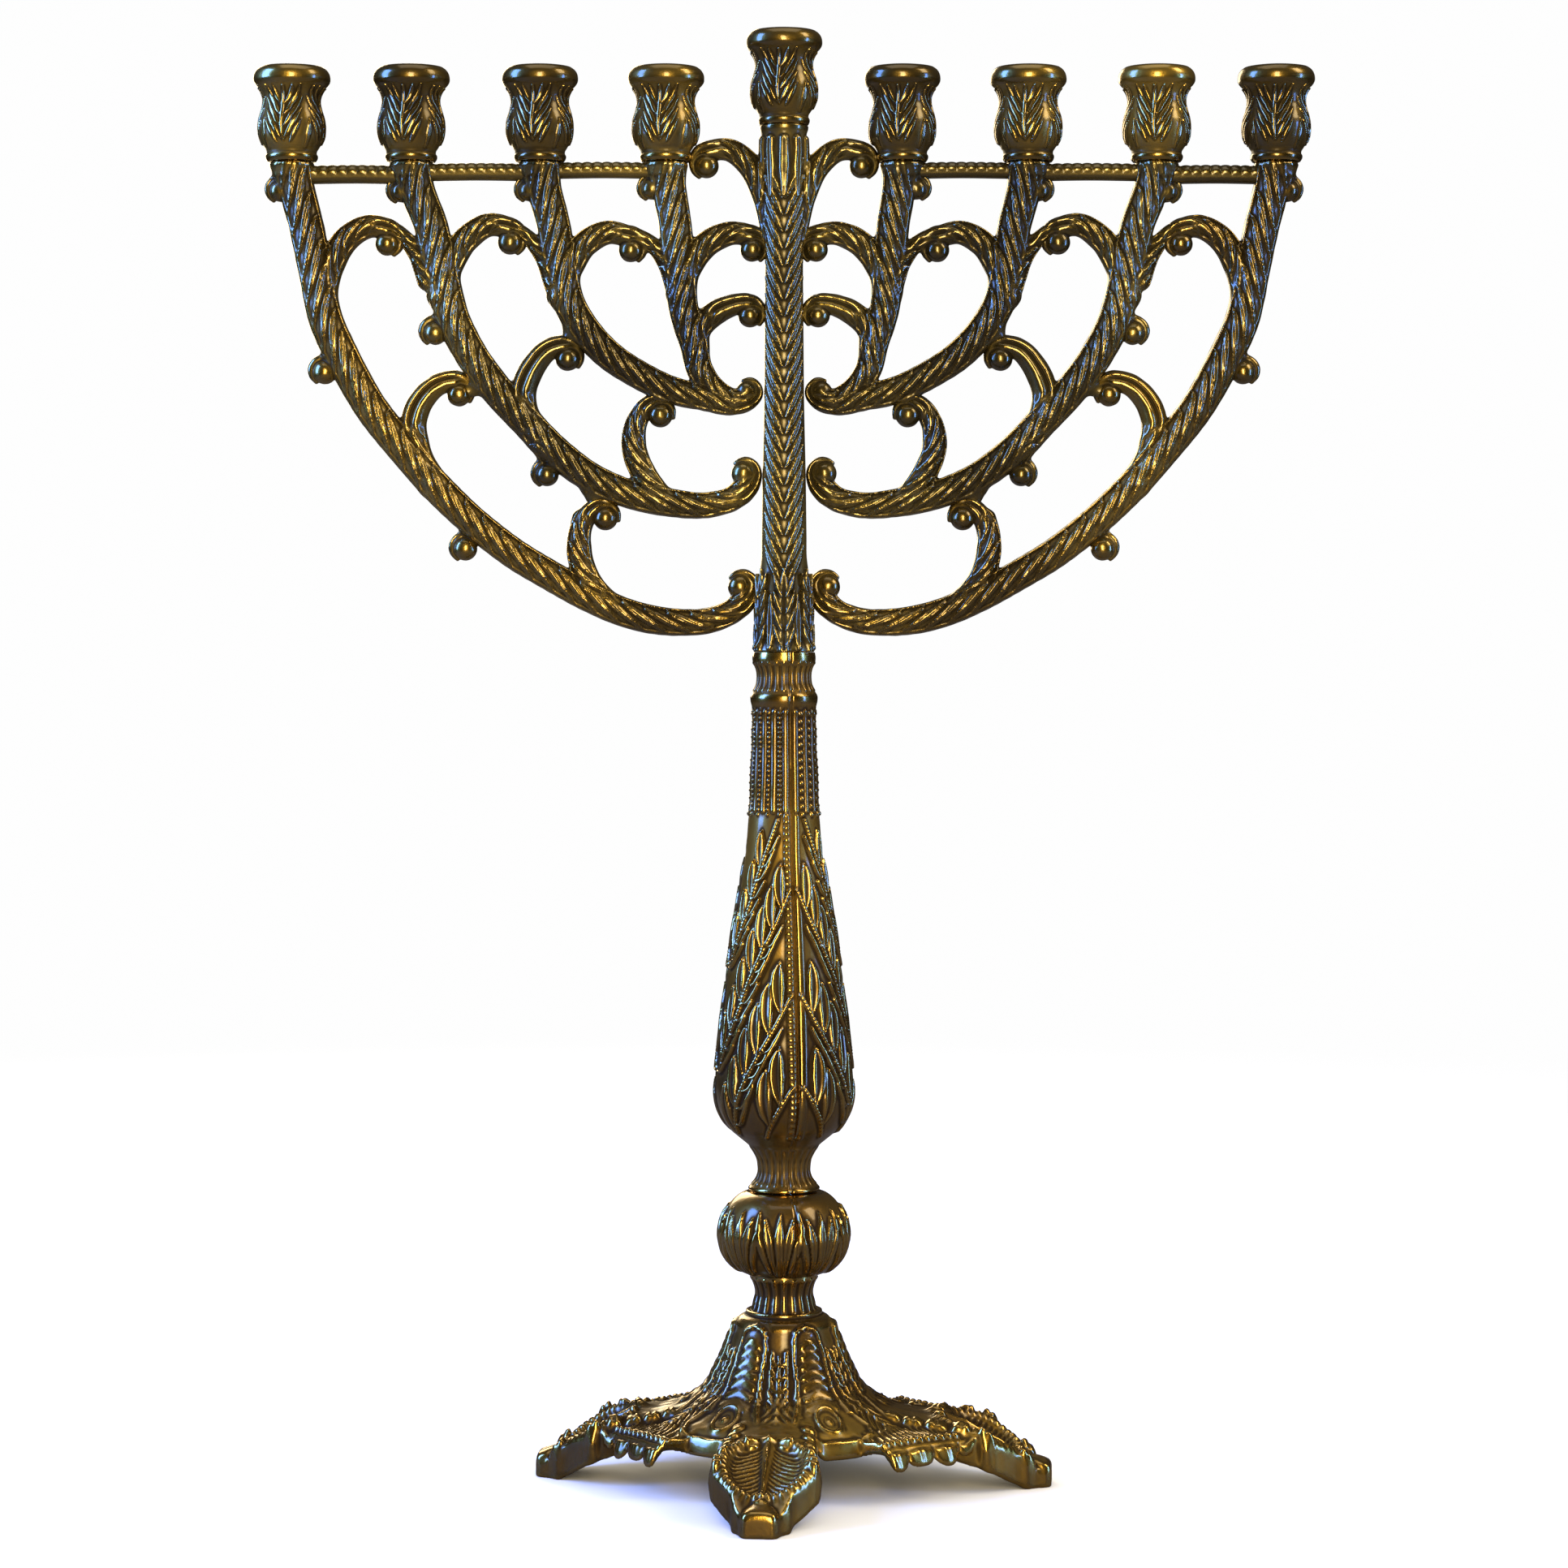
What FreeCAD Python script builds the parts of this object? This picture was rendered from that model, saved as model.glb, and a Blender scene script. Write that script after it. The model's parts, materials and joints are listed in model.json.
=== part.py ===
import FreeCAD, Part
import os
import Sketcher
from FreeCAD import Placement, Rotation, Vector

# A nine-light Hanukkah lampstand in cast brass, in millimetres. +Z is up, the candelabrum spreads
# along X, the front faces -Y, and the origin is on the table under the centre of the base.

SIZES = {
    # candle cups, measured from the seat they stand on
    "cup_height": 25.5,
    "cup_foot_radius": 6.2,
    "cup_belly_radius": 8.8,
    "cup_waist_radius": 7.4,
    "cup_rim_radius": 10.1,
    "cup_mouth_radius": 8.2,
    "candle_radius": 5.5,
    "candle_floor": 9.0,
    "mouth_chamfer": 2.7,
    # where the cups stand
    "inner_cup_offset": 31.0,
    "second_cup_offset": 64.0,
    "third_cup_offset": 97.7,
    "outer_cup_offset": 129.0,
    "side_seat_level": 345.0,
    "shamash_seat_level": 354.5,
    # stud that holds each cup
    "stud_radius": 2.0,
    "stud_depth": 6.0,
    "stud_stand": 5.5,
    # scroll arms, brace bars and the balls on the scrolls
    "arm_top_radius": 4.35,
    "arm_foot_radius": 3.5,
    "fork_radius": 3.3,
    "scroll_root_radius": 3.0,
    "scroll_tip_radius": 2.3,
    "ball_radius": 3.1,
    "bar_thickness": 3.6,
    "bar_depth": 4.2,
    # levels where the stacked sections meet
    "base_top": 43.5,
    "spool_top": 54.0,
    "knop_top": 75.6,
    "baluster_top": 216.6,
    # stem radii
    "shaft_radius": 5.3,
    "socket_radius": 8.0,
    "baluster_max_radius": 17.9,
    "baluster_neck_radius": 6.8,
    "knop_max_radius": 17.4,
    "spool_waist_radius": 7.3,
    "seam_angle": 12.0,
    # tie rod, nut and washer
    "rod_radius": 3.0,
    "rod_bottom": 31.0,
    "rod_top": 237.0,
    "nut_across_flats": 10.0,
    "nut_height": 5.0,
    "washer_radius": 6.2,
    "washer_thickness": 1.2,
    # base and feet
    "base_wall": 2.5,
    "base_plate": 3.2,
    "skirt_radius": 45.0,
    "skirt_level": 7.0,
    "foot_reach": 68.0,
    "toe_thickness": 5.5,
    "foot_angle": 5.3,
    # clearances between pieces that move on each other
    "running_gap": 0.05,
}

# Scroll arms of the left side, drawn on the right (+X) half-plane as (distance from the stem, level).
# Each scroll runs from inside its arm to the tip that holds its ball.
OUTER_ARM = {
    "path": [(6.0, 235.5), (8.5, 230.0), (15.0, 226.6), (28.0, 224.9), (50.0, 231.0), (81.6, 251.5),
             (108.0, 281.0), (119.5, 303.5), (125.0, 327.0)],
    "scrolls": [
        [(121.5, 311.0), (117.0, 321.0), (112.0, 326.8), (105.0, 327.6)],
        [(93.5, 264.0), (96.8, 275.0), (94.5, 284.0), (88.0, 288.0)],
        [(48.0, 231.5), (52.5, 241.0), (52.0, 249.0), (48.5, 254.0)],
    ],
    "balls": [(104.0, 324.5), (85.0, 285.0), (46.0, 252.5), (11.0, 234.0), (121.0, 291.0),
              (84.0, 245.0), (131.6, 338.0)],
}
MIDDLE_ARM = {
    "path": [(5.0, 265.0), (7.5, 259.5), (14.0, 256.5), (25.0, 255.2), (40.0, 258.2), (56.0, 267.0),
             (75.0, 284.5), (87.0, 306.0), (92.4, 328.0)],
    "scrolls": [
        [(90.0, 312.0), (85.0, 321.5), (80.0, 328.0), (73.0, 328.5)],
        [(96.0, 319.5), (98.0, 326.0), (102.5, 328.8)],
        [(62.0, 271.5), (67.3, 281.0), (66.0, 291.0), (59.0, 297.5)],
        [(34.0, 257.5), (39.0, 267.0), (39.4, 276.0), (35.0, 282.0)],
    ],
    "balls": [(71.5, 325.0), (57.0, 294.3), (32.5, 279.0), (10.0, 263.8), (91.5, 301.0),
              (62.0, 264.2), (99.8, 337.6)],
}
INNER_ARM = {
    "path": [(4.0, 287.0), (8.0, 282.4), (20.0, 283.3), (32.0, 286.6), (45.5, 294.5), (55.5, 306.0),
             (59.5, 322.0)],
    "fork": [(17.0, 281.5), (20.0, 288.0), (22.8, 296.0), (26.3, 308.0), (28.0, 324.0)],
    "scrolls": [
        [(58.0, 313.0), (53.5, 321.0), (48.0, 326.6), (40.0, 327.0)],
        [(62.0, 318.5), (65.0, 325.5), (70.0, 328.8)],
        [(27.2, 314.0), (22.0, 321.5), (16.5, 326.6), (7.6, 327.0)],
        [(30.0, 318.0), (33.5, 325.5), (38.5, 328.3)],
        [(23.2, 299.0), (21.0, 304.0), (16.5, 307.4), (8.2, 308.8)],
    ],
    "balls": [(40.0, 322.8), (7.6, 323.2), (8.2, 306.0), (9.5, 286.4), (66.3, 337.8), (34.2, 338.0)],
}
SHAFT_SCROLL = [(2.0, 337.0), (6.0, 344.0), (12.0, 348.6), (19.5, 347.9)]
SHAFT_BALL = (19.0, 345.0)

# Brace bars: inner end, outer end, level of each end.
BARS = {
    "outer": (100.2, 125.0, 341.2, 342.3),
    "middle": (66.5, 93.5, 342.0, 342.8),
    "inner": (33.5, 60.5, 342.6, 343.1),
}

# Sections of a foot going outwards: (distance from the stem, half width, crown level, edge level).
FOOT_ARCHES = [
    (22.0, 9.0, 23.0, 14.0),
    (45.0, 14.6, 20.0, 8.0),
    (55.0, 13.4, 14.2, 4.0),
    (63.5, 7.2, 6.5, 0.5),
]

ARC_SAGITTA = 0.55
ARM_TO_ROD = 1.0

doc = FreeCAD.newDocument("Menorah")
nodes = {}


class Size:
    """A length that knows both its value and the spreadsheet expression that gives it."""

    def __init__(self, value, text):
        self.value = value
        self.text = text

    def __add__(self, other):
        return Size(self.value + value_of(other), f"({self.text} + {text_of(other)})")

    def __sub__(self, other):
        return Size(self.value - value_of(other), f"({self.text} - {text_of(other)})")

    def __mul__(self, factor):
        return Size(self.value * factor, f"({self.text} * {factor})")

    def __neg__(self):
        return Size(-self.value, f"(-{self.text})")


def value_of(size):
    return size.value if isinstance(size, Size) else float(size)


def text_of(size):
    return size.text if isinstance(size, Size) else f"{size}"


def fill_sheet():
    """Writes every driving dimension to the sheet and returns them as Size objects by name."""
    sheet = doc.addObject("Spreadsheet::Sheet", "Dims")
    for row, (name, value) in enumerate(SIZES.items(), start=1):
        sheet.set(f"A{row}", name)
        sheet.set(f"B{row}", str(value))
        sheet.setAlias(f"B{row}", name)
    doc.recompute()
    return {name: Size(value, f"Dims.{name}") for name, value in SIZES.items()}


D = fill_sheet()
GAP = D["running_gap"]


def bind(thing, prop, size):
    """Ties one property of an object to the sheet."""
    if isinstance(size, Size):
        thing.setExpression(prop, size.text)
    else:
        setattr(thing, prop, size)


def pin_point(sketch, edge, end, x, y):
    """Holds one end of a sketch edge at x, y."""
    for size, kind, axis in ((x, "DistanceX", -2), (y, "DistanceY", -1)):
        value = value_of(size)
        if value == 0:
            sketch.addConstraint(Sketcher.Constraint("PointOnObject", edge, end, axis))
            continue
        if value > 0:
            rule = Sketcher.Constraint(kind, -1, 1, edge, end, value)
        else:
            rule = Sketcher.Constraint(kind, edge, end, -1, 1, -value)
        index = sketch.addConstraint(rule)
        if isinstance(size, Size):
            positive = size if value > 0 else -size
            sketch.setExpression(f"Constraints[{index}]", positive.text)


def add_side(sketch, start, finish, via):
    """Adds a line, an arc that bows out by the number via, or a curve through the points via."""
    if via is None:
        sketch.addGeometry(Part.LineSegment(start, finish), False)
        return 1, 2
    if isinstance(via, list):
        curve = Part.BSplineCurve()
        curve.interpolate([start] + [Vector(x, y, 0) for x, y in via] + [finish])
        sketch.addGeometry(curve, False)
        return 1, 2
    chord = finish - start
    outward = Vector(chord.y, -chord.x, 0).normalize()
    middle = (start + finish) * 0.5 + outward * via
    if via > 0:
        sketch.addGeometry(Part.Arc(start, middle, finish), False)
        return 1, 2
    sketch.addGeometry(Part.Arc(finish, middle, start), False)
    return 2, 1


def draw_outline(sketch, corners):
    """Draws a closed outline. A corner is (x, y) or (x, y, via), where via shapes the side after it."""
    ends = []
    places = [Vector(value_of(corner[0]), value_of(corner[1]), 0) for corner in corners]
    for index, corner in enumerate(corners):
        via = corner[2] if len(corner) > 2 else None
        ends.append(add_side(sketch, places[index], places[(index + 1) % len(corners)], via))
    for index, corner in enumerate(corners):
        following = (index + 1) % len(corners)
        rule = Sketcher.Constraint("Coincident", index, ends[index][1], following, ends[following][0])
        sketch.addConstraint(rule)
        pin_point(sketch, index, ends[index][0], corner[0], corner[1])


def origin_feature(body, role):
    return next(item for item in body.Origin.OriginFeatures if item.Role == role)


def add_sketch(body, name, role, corners, lift=0.0):
    """Adds an outline on one of the body's own origin planes, lifted along the plane's normal."""
    sketch = body.newObject("Sketcher::SketchObject", name)
    sketch.AttachmentSupport = (origin_feature(body, role), [""])
    sketch.MapMode = "FlatFace"
    sketch.AttachmentOffset = Placement(Vector(0, 0, lift), Rotation())
    draw_outline(sketch, corners)
    return sketch


def keep(label, thing):
    """Names a finished sub-part, so that it is checked and exported."""
    thing.Label = label
    nodes[label] = thing
    return thing


def add_turning(body, name, corners, angle=360):
    """Turns an outline in the XZ plane about the Z axis."""
    sketch = add_sketch(body, f"{name}_outline", "XZ_Plane", corners)
    turning = body.newObject("PartDesign::Revolution", f"{name}_turning")
    turning.Profile = sketch
    turning.ReferenceAxis = (sketch, ["V_Axis"])
    turning.Angle = angle
    return turning


def turned_node(label, corners, placement=Placement(), angle=360):
    body = doc.addObject("PartDesign::Body", label)
    add_turning(body, label, corners, angle)
    body.Placement = placement
    return keep(label, body)


# ---------------------------------------------------------------- cups

def cup_outline():
    """Half section of a cup, from the stud hole out to the rim and back down the candle bore."""
    foot = D["cup_foot_radius"]
    top = D["cup_height"]
    stud_hole = D["stud_radius"] + GAP
    bore = D["candle_radius"]
    return [
        (stud_hole, 0),
        (foot, 0, ARC_SAGITTA),
        (foot + 0.1, 2.6, [(7.6, 4.6), (D["cup_belly_radius"].value, 8.8)]),
        (D["cup_belly_radius"] - 0.3, 12.2, [(7.7, 14.6)]),
        (D["cup_waist_radius"], 16.2, [(7.9, 18.4), (9.2, 20.2)]),
        (D["cup_rim_radius"], 22.6, 0.4),
        (D["cup_mouth_radius"] + 0.6, top),
        (D["cup_mouth_radius"], top),
        (bore, top - D["mouth_chamfer"]),
        (bore, D["candle_floor"]),
        (0, D["candle_floor"]),
        (0, D["stud_depth"]),
        (stud_hole, D["stud_depth"]),
    ]


def place_cup(label, offset, level, side):
    cup = turned_node(label, cup_outline())
    cup.Placement.Base = Vector(side * offset.value, 0, level.value)
    cup.setExpression("Placement.Base.x", (offset * side).text)
    cup.setExpression("Placement.Base.z", level.text)


CUP_OFFSETS = [D["inner_cup_offset"], D["second_cup_offset"], D["third_cup_offset"], D["outer_cup_offset"]]
SIDES = {"left": -1, "right": 1}


def make_cups():
    cup = turned_node("cup_shamash", cup_outline())
    cup.Placement.Base = Vector(0, 0, D["shamash_seat_level"].value)
    cup.setExpression("Placement.Base.z", D["shamash_seat_level"].text)
    for side_name, side in SIDES.items():
        for number, offset in enumerate(CUP_OFFSETS, start=1):
            place_cup(f"cup_{side_name}_{number}", offset, D["side_seat_level"], side)


def add_stud(name, offset, level, radius, depth, stand):
    """A round bar along Z that reaches depth below a cup seat and stands above it."""
    stud = doc.addObject("Part::Cylinder", name)
    bind(stud, "Radius", radius)
    bind(stud, "Height", depth + stand)
    stud.Placement.Base = Vector(value_of(offset), 0, (level - depth).value)
    stud.setExpression("Placement.Base.x", text_of(offset))
    stud.setExpression("Placement.Base.z", (level - depth).text)
    return stud


def make_studs():
    level = D["side_seat_level"]
    sizes = (D["stud_radius"], D["stud_depth"], D["stud_stand"])
    studs = [add_stud("stud_shamash", 0, D["shamash_seat_level"], *sizes)]
    for side_name, side in SIDES.items():
        for number, offset in enumerate(CUP_OFFSETS, start=1):
            studs.append(add_stud(f"stud_{side_name}_{number}", offset * side, level, *sizes))
    group = doc.addObject("Part::Compound", "cup_studs")
    group.Links = studs
    keep("cup_studs", group)


# ---------------------------------------------------------------- scroll arms

def add_spine(name, points, last=None):
    """A smooth curve in the XZ plane through the points, with its last end driven by the sheet."""
    spine = doc.addObject("Sketcher::SketchObject", name)
    curve = Part.BSplineCurve()
    ends = [last] if last else []
    places = [Vector(value_of(x), value_of(y), 0) for x, y in points + ends]
    curve.interpolate(places)
    spine.addGeometry(curve, False)
    if last:
        pin_point(spine, 0, 2, last[0], last[1])
    spine.Placement = Placement(Vector(), Rotation(Vector(1, 0, 0), 90))
    spine.recompute()
    return spine


def add_ring(name, spine, share, radius):
    """A circle across the spine at a share of its length, as one section of a sweep."""
    edge = spine.Shape.Edges[0]
    at = edge.getParameterByLength(edge.Length * share)
    ring = doc.addObject("Part::Circle", name)
    bind(ring, "Radius", radius)
    depth = Vector(0, 1, 0)
    along = edge.tangentAt(at)
    turn = Rotation(depth.cross(along), depth, along, "ZXY")
    ring.Placement = Placement(edge.valueAt(at), turn)
    return ring


def add_rod(name, points, start_radius, end_radius, last=None):
    """A tapering round bar that follows a curve."""
    spine = add_spine(f"{name}_spine", points, last)
    sweep = doc.addObject("Part::Sweep", name)
    sweep.Sections = [
        add_ring(f"{name}_start", spine, 0, start_radius),
        add_ring(f"{name}_end", spine, 1, end_radius),
    ]
    sweep.Spine = (spine, ["Edge1"])
    sweep.Solid = True
    sweep.Frenet = False
    return sweep


def add_ball(name, x, z):
    ball = doc.addObject("Part::Sphere", name)
    bind(ball, "Radius", D["ball_radius"])
    ball.Placement.Base = Vector(x, 0, z)
    return ball


def add_scrolls(name, arm):
    """The scroll curls of one casting with the balls they hold."""
    root = D["scroll_root_radius"]
    tip = D["scroll_tip_radius"]
    pieces = []
    for number, points in enumerate(arm["scrolls"], start=1):
        pieces.append(add_rod(f"{name}_scroll_{number}", points, root, tip))
    for number, (x, z) in enumerate(arm["balls"], start=1):
        pieces.append(add_ball(f"{name}_ball_{number}", x, z))
    return pieces


def fuse(name, pieces):
    """Joins pieces one after another into one casting."""
    joined = pieces[0]
    for number, piece in enumerate(pieces[1:], start=1):
        step = doc.addObject("Part::Fuse", f"{name}_{number}")
        step.Base = joined
        step.Tool = piece
        joined = step
    return joined


def cut_away(casting, tools):
    """Takes the tools out of a casting one after another."""
    for tool in tools:
        step = doc.addObject("Part::Cut", f"{tool.Name}_cut")
        step.Base = casting
        step.Tool = tool
        casting = step
    return casting


def add_seat_plane(name):
    """The space above the cup seats, which trims the arm tops level."""
    block = doc.addObject("Part::Box", name)
    block.Length = 2 * D["outer_cup_offset"].value
    block.Width = 4 * D["arm_top_radius"].value
    bind(block, "Height", D["cup_height"])
    block.Placement.Base = Vector(0, -block.Width.Value / 2, D["side_seat_level"].value)
    block.setExpression("Placement.Base.z", D["side_seat_level"].text)
    return block


def add_stem_core(name):
    """The middle of the shaft, kept clear of the arms so that the tie rod passes."""
    core = doc.addObject("Part::Cylinder", name)
    bind(core, "Radius", D["rod_radius"] + ARM_TO_ROD)
    bind(core, "Height", D["shamash_seat_level"] - D["baluster_top"])
    core.setExpression("Placement.Base.z", D["baluster_top"].text)
    return core


def mirrored(name, source):
    """The same piece on the other side of the stem."""
    mirror = doc.addObject("Part::Mirroring", name)
    mirror.Source = source
    mirror.Base = Vector(0, 0, 0)
    mirror.Normal = Vector(1, 0, 0)
    return mirror


def make_arm(place, arm, cup_offsets):
    """One arm casting on each side: the bar or fork, its scrolls, balls and stud holes."""
    name = f"arm_right_{place}"
    level = D["side_seat_level"]
    top = D["arm_top_radius"]
    pieces = [add_rod(f"{name}_bar", arm["path"], D["arm_foot_radius"], top, (cup_offsets[0], level))]
    if "fork" in arm:
        pieces.append(add_rod(f"{name}_fork", arm["fork"], D["fork_radius"], top, (cup_offsets[1], level)))
    pieces += add_scrolls(name, arm)
    tools = [add_seat_plane(f"{name}_seat_plane"), add_stem_core(f"{name}_stem_core")]
    for number, offset in enumerate(cup_offsets, start=1):
        sizes = (D["stud_radius"], D["stud_depth"], D["stud_stand"])
        tools.append(add_stud(f"{name}_stud_hole_{number}", offset, level, *sizes))
    right = cut_away(fuse(f"{name}_casting", pieces), tools)
    keep(name, right)
    keep(f"arm_left_{place}", mirrored(f"arm_left_{place}_mirror", right))


def make_bar(place, inner_end, outer_end, inner_level, outer_level):
    """A brace bar brazed between two arm tops, with the small tilt it was brazed at."""
    bar = doc.addObject("Part::Box", f"brace_bar_right_{place}_box")
    start = Vector(inner_end, 0, inner_level)
    run = Vector(outer_end, 0, outer_level) - start
    bar.Length = run.Length
    bind(bar, "Width", D["bar_depth"])
    bind(bar, "Height", D["bar_thickness"])
    tilt = Rotation(Vector(1, 0, 0), run)
    half = Vector(0, D["bar_depth"].value / 2, D["bar_thickness"].value / 2)
    bar.Placement = Placement(start - tilt.multVec(half), tilt)
    keep(f"brace_bar_right_{place}", bar)
    keep(f"brace_bar_left_{place}", mirrored(f"brace_bar_left_{place}_mirror", bar))


# ---------------------------------------------------------------- stem

def make_shaft():
    """The upright with its acanthus socket, the rod's blind hole, and the scrolls under the top cup."""
    shaft = D["shaft_radius"]
    socket = D["socket_radius"]
    foot = D["baluster_top"] + GAP
    top = D["shamash_seat_level"]
    body = doc.addObject("PartDesign::Body", "shaft_core")
    add_turning(body, "shaft_core", [
        (D["rod_radius"], foot),
        (socket, foot, [(7.3, 221.0), (6.7, 230.0)]),
        (socket - 0.7, 239.0, [(6.5, 243.0), (6.2, 252.0)]),
        (shaft + 0.3, 268.0),
        (shaft, 300.0),
        (shaft, 338.0, [(5.6, 346.0)]),
        (D["cup_foot_radius"], top),
        (D["stud_radius"], top),
        (D["stud_radius"], top - D["stud_depth"]),
        (0, top - D["stud_depth"]),
        (0, D["rod_top"]),
        (D["rod_radius"], D["rod_top"]),
    ])
    root = D["scroll_root_radius"]
    scroll = add_rod("shaft_scroll_right", SHAFT_SCROLL, root, D["scroll_tip_radius"])
    ball = add_ball("shaft_ball_right", *SHAFT_BALL)
    right = fuse("shaft_curl_right", [scroll, ball])
    left = mirrored("shaft_curl_left", right)
    hole = add_stud("shaft_stud_clear", 0, top, D["stud_radius"], D["stud_depth"], D["stud_stand"])
    keep("central_shaft", cut_away(fuse("shaft_casting", [body, right, left]), [hole]))


def make_halves(name, corners):
    """Two hollow castings soldered along an upright seam that passes a little right of the front."""
    seam = SIZES["seam_angle"] - 90
    for side_name, turn in (("right", seam), ("left", seam + 180)):
        place = Placement(Vector(), Rotation(Vector(0, 0, 1), turn))
        turned_node(f"{name}_{side_name}_half", corners, place, 180)


def make_baluster():
    bore = D["rod_radius"] + GAP
    neck = D["baluster_neck_radius"]
    widest = D["baluster_max_radius"].value
    foot = D["knop_top"] + GAP
    top = D["baluster_top"]
    body_curve = [(16.0, 94.4), (widest, 101.7), (17.1, 112.0), (15.2, 127.3), (12.7, 146.4),
                  (10.4, 162.0), (8.8, 176.5)]
    cavity_curve = [(6.4, 176.0), (8.0, 162.0), (10.3, 146.0), (12.8, 127.3), (14.7, 112.0),
                    (15.4, 101.7), (13.4, 96.0)]
    make_halves("baluster", [
        (bore, foot),
        (9.5, foot, [(8.4, 77.6)]),
        (neck, 81.3, [(7.6, 85.3)]),
        (10.7, 88.9, body_curve),
        (8.0, 199.0),
        (8.3, 202.4, ARC_SAGITTA),
        (8.2, 206.2, [(7.0, 209.0)]),
        (7.2, 213.0, ARC_SAGITTA),
        (D["socket_radius"] - 0.2, top),
        (bore, top),
        (bore, 199.0),
        (5.6, 199.0, cavity_curve),
        (8.0, 91.6),
        (bore, 91.6),
    ])


def make_knop():
    bore = D["rod_radius"] + GAP
    foot = D["spool_top"] + GAP
    top = D["knop_top"]
    widest = D["knop_max_radius"].value
    make_halves("knop", [
        (bore, foot),
        (11.1, foot, [(14.6, 57.0), (widest, 63.6), (15.9, 70.0)]),
        (9.8, top),
        (bore, top),
        (bore, 72.8),
        (9.0, 72.8, [(13.4, 69.6), (14.9, 63.6), (12.9, 58.8)]),
        (9.4, 56.8),
        (bore, 56.8),
    ])


def make_spool():
    bore = D["rod_radius"] + GAP
    waist = D["spool_waist_radius"].value
    turned_node("lower_spool", [
        (bore, D["base_top"] + GAP),
        (8.6, D["base_top"] + GAP, [(waist, 48.8)]),
        (8.8, 53.0),
        (8.8, D["spool_top"]),
        (bore, D["spool_top"]),
    ])


# ---------------------------------------------------------------- base

def arch_corners(half_width, crown, edge):
    """Section across a foot: an upright arch of the base's wall thickness, open underneath."""
    wall = SIZES["base_wall"]
    return [
        (-half_width, edge),
        (wall - half_width, edge, [(0, crown - wall)]),
        (half_width - wall, edge),
        (half_width, edge, [(0, crown)]),
    ]


def make_base():
    """Hollow bell with a top plate, flaring to a skirt, on four arched feet with solid toes."""
    bore = D["rod_radius"] + GAP
    top = D["base_top"]
    wall = SIZES["base_wall"]
    skirt = D["skirt_radius"]
    edge = D["skirt_level"]
    body = doc.addObject("PartDesign::Body", "base_casting")
    outer_curve = [(13.6, 39.2), (16.2, 32.8), (19.8, 25.8), (26.0, 20.8), (35.0, 16.2)]
    inner_curve = [(33.0, 14.4), (24.0, 18.9), (17.4, 24.8), (13.8, 32.2)]
    add_turning(body, "bell", [
        (bore, top - D["base_plate"]),
        (bore, top),
        (11.5, top, outer_curve),
        (skirt, edge + wall),
        (skirt, edge),
        (skirt - wall, edge, inner_curve),
        (10.6, top - D["base_plate"]),
    ])
    arches = []
    for number, (reach, half_width, crown, foot_edge) in enumerate(FOOT_ARCHES, start=1):
        corners = arch_corners(half_width, crown, foot_edge)
        arches.append(add_sketch(body, f"arch_{number}", "YZ_Plane", corners, reach))
    foot = body.newObject("PartDesign::AdditiveLoft", "foot_shell")
    foot.Profile = arches[0]
    foot.Sections = arches[1:]
    reach = D["foot_reach"]
    toe_sketch = add_sketch(body, "toe_outline", "XY_Plane", [
        (57.0, -7.0),
        (62.0, -7.0, [(66.0, -4.6)]),
        (reach, 0, [(66.0, 4.6)]),
        (62.0, 7.0),
        (57.0, 7.0),
    ])
    toe = body.newObject("PartDesign::Pad", "toe")
    toe.Profile = toe_sketch
    bind(toe, "Length", D["toe_thickness"])
    doc.recompute()
    feet = body.newObject("PartDesign::PolarPattern", "feet")
    feet.Originals = [foot, toe]
    feet.Axis = (origin_feature(body, "Z_Axis"), [""])
    feet.Angle = 360
    feet.Occurrences = 4
    body.Tip = feet
    body.Placement = Placement(Vector(), Rotation(Vector(0, 0, 1), -SIZES["foot_angle"]))
    keep("base_casting", body)


def make_rod():
    rod = doc.addObject("Part::Cylinder", "tie_rod")
    bind(rod, "Radius", D["rod_radius"])
    bind(rod, "Height", D["rod_top"] - D["rod_bottom"])
    rod.setExpression("Placement.Base.z", D["rod_bottom"].text)
    keep("tie_rod", rod)


def make_washer():
    ceiling = D["base_top"] - D["base_plate"]
    turned_node("base_washer", [
        (D["rod_radius"] + GAP, ceiling - D["washer_thickness"]),
        (D["washer_radius"], ceiling - D["washer_thickness"]),
        (D["washer_radius"], ceiling),
        (D["rod_radius"] + GAP, ceiling),
    ])


def make_nut():
    """Hexagon nut that pulls the whole stack together from inside the base."""
    ceiling = D["base_top"] - D["base_plate"] - D["washer_thickness"] - GAP
    blank = doc.addObject("Part::Prism", "nut_blank")
    blank.Polygon = 6
    blank.setExpression("Circumradius", f"{D['nut_across_flats'].text} / (2 * cos(30 deg))")
    bind(blank, "Height", D["nut_height"])
    blank.setExpression("Placement.Base.z", (ceiling - D["nut_height"]).text)
    bore = doc.addObject("Part::Cylinder", "nut_bore")
    bind(bore, "Radius", D["rod_radius"] + GAP)
    bind(bore, "Height", D["nut_height"] * 2)
    bore.setExpression("Placement.Base.z", (ceiling - D["nut_height"] * 1.5).text)
    nut = doc.addObject("Part::Cut", "base_nut_cut")
    nut.Base = blank
    nut.Tool = bore
    keep("base_nut", nut)


# ---------------------------------------------------------------- whole object

def check_document():
    """Stops if any object failed or any sub-part has no sound shape."""
    for thing in doc.Objects:
        if "Invalid" in thing.State or "Error" in thing.State:
            raise RuntimeError(f"{thing.Name} failed: {thing.State}")
    for label, thing in nodes.items():
        if thing.Shape.isNull() or not thing.Shape.isValid():
            raise RuntimeError(f"{label} has no valid shape")
        if not thing.Shape.Solids:
            raise RuntimeError(f"{label} has no solid")


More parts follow.
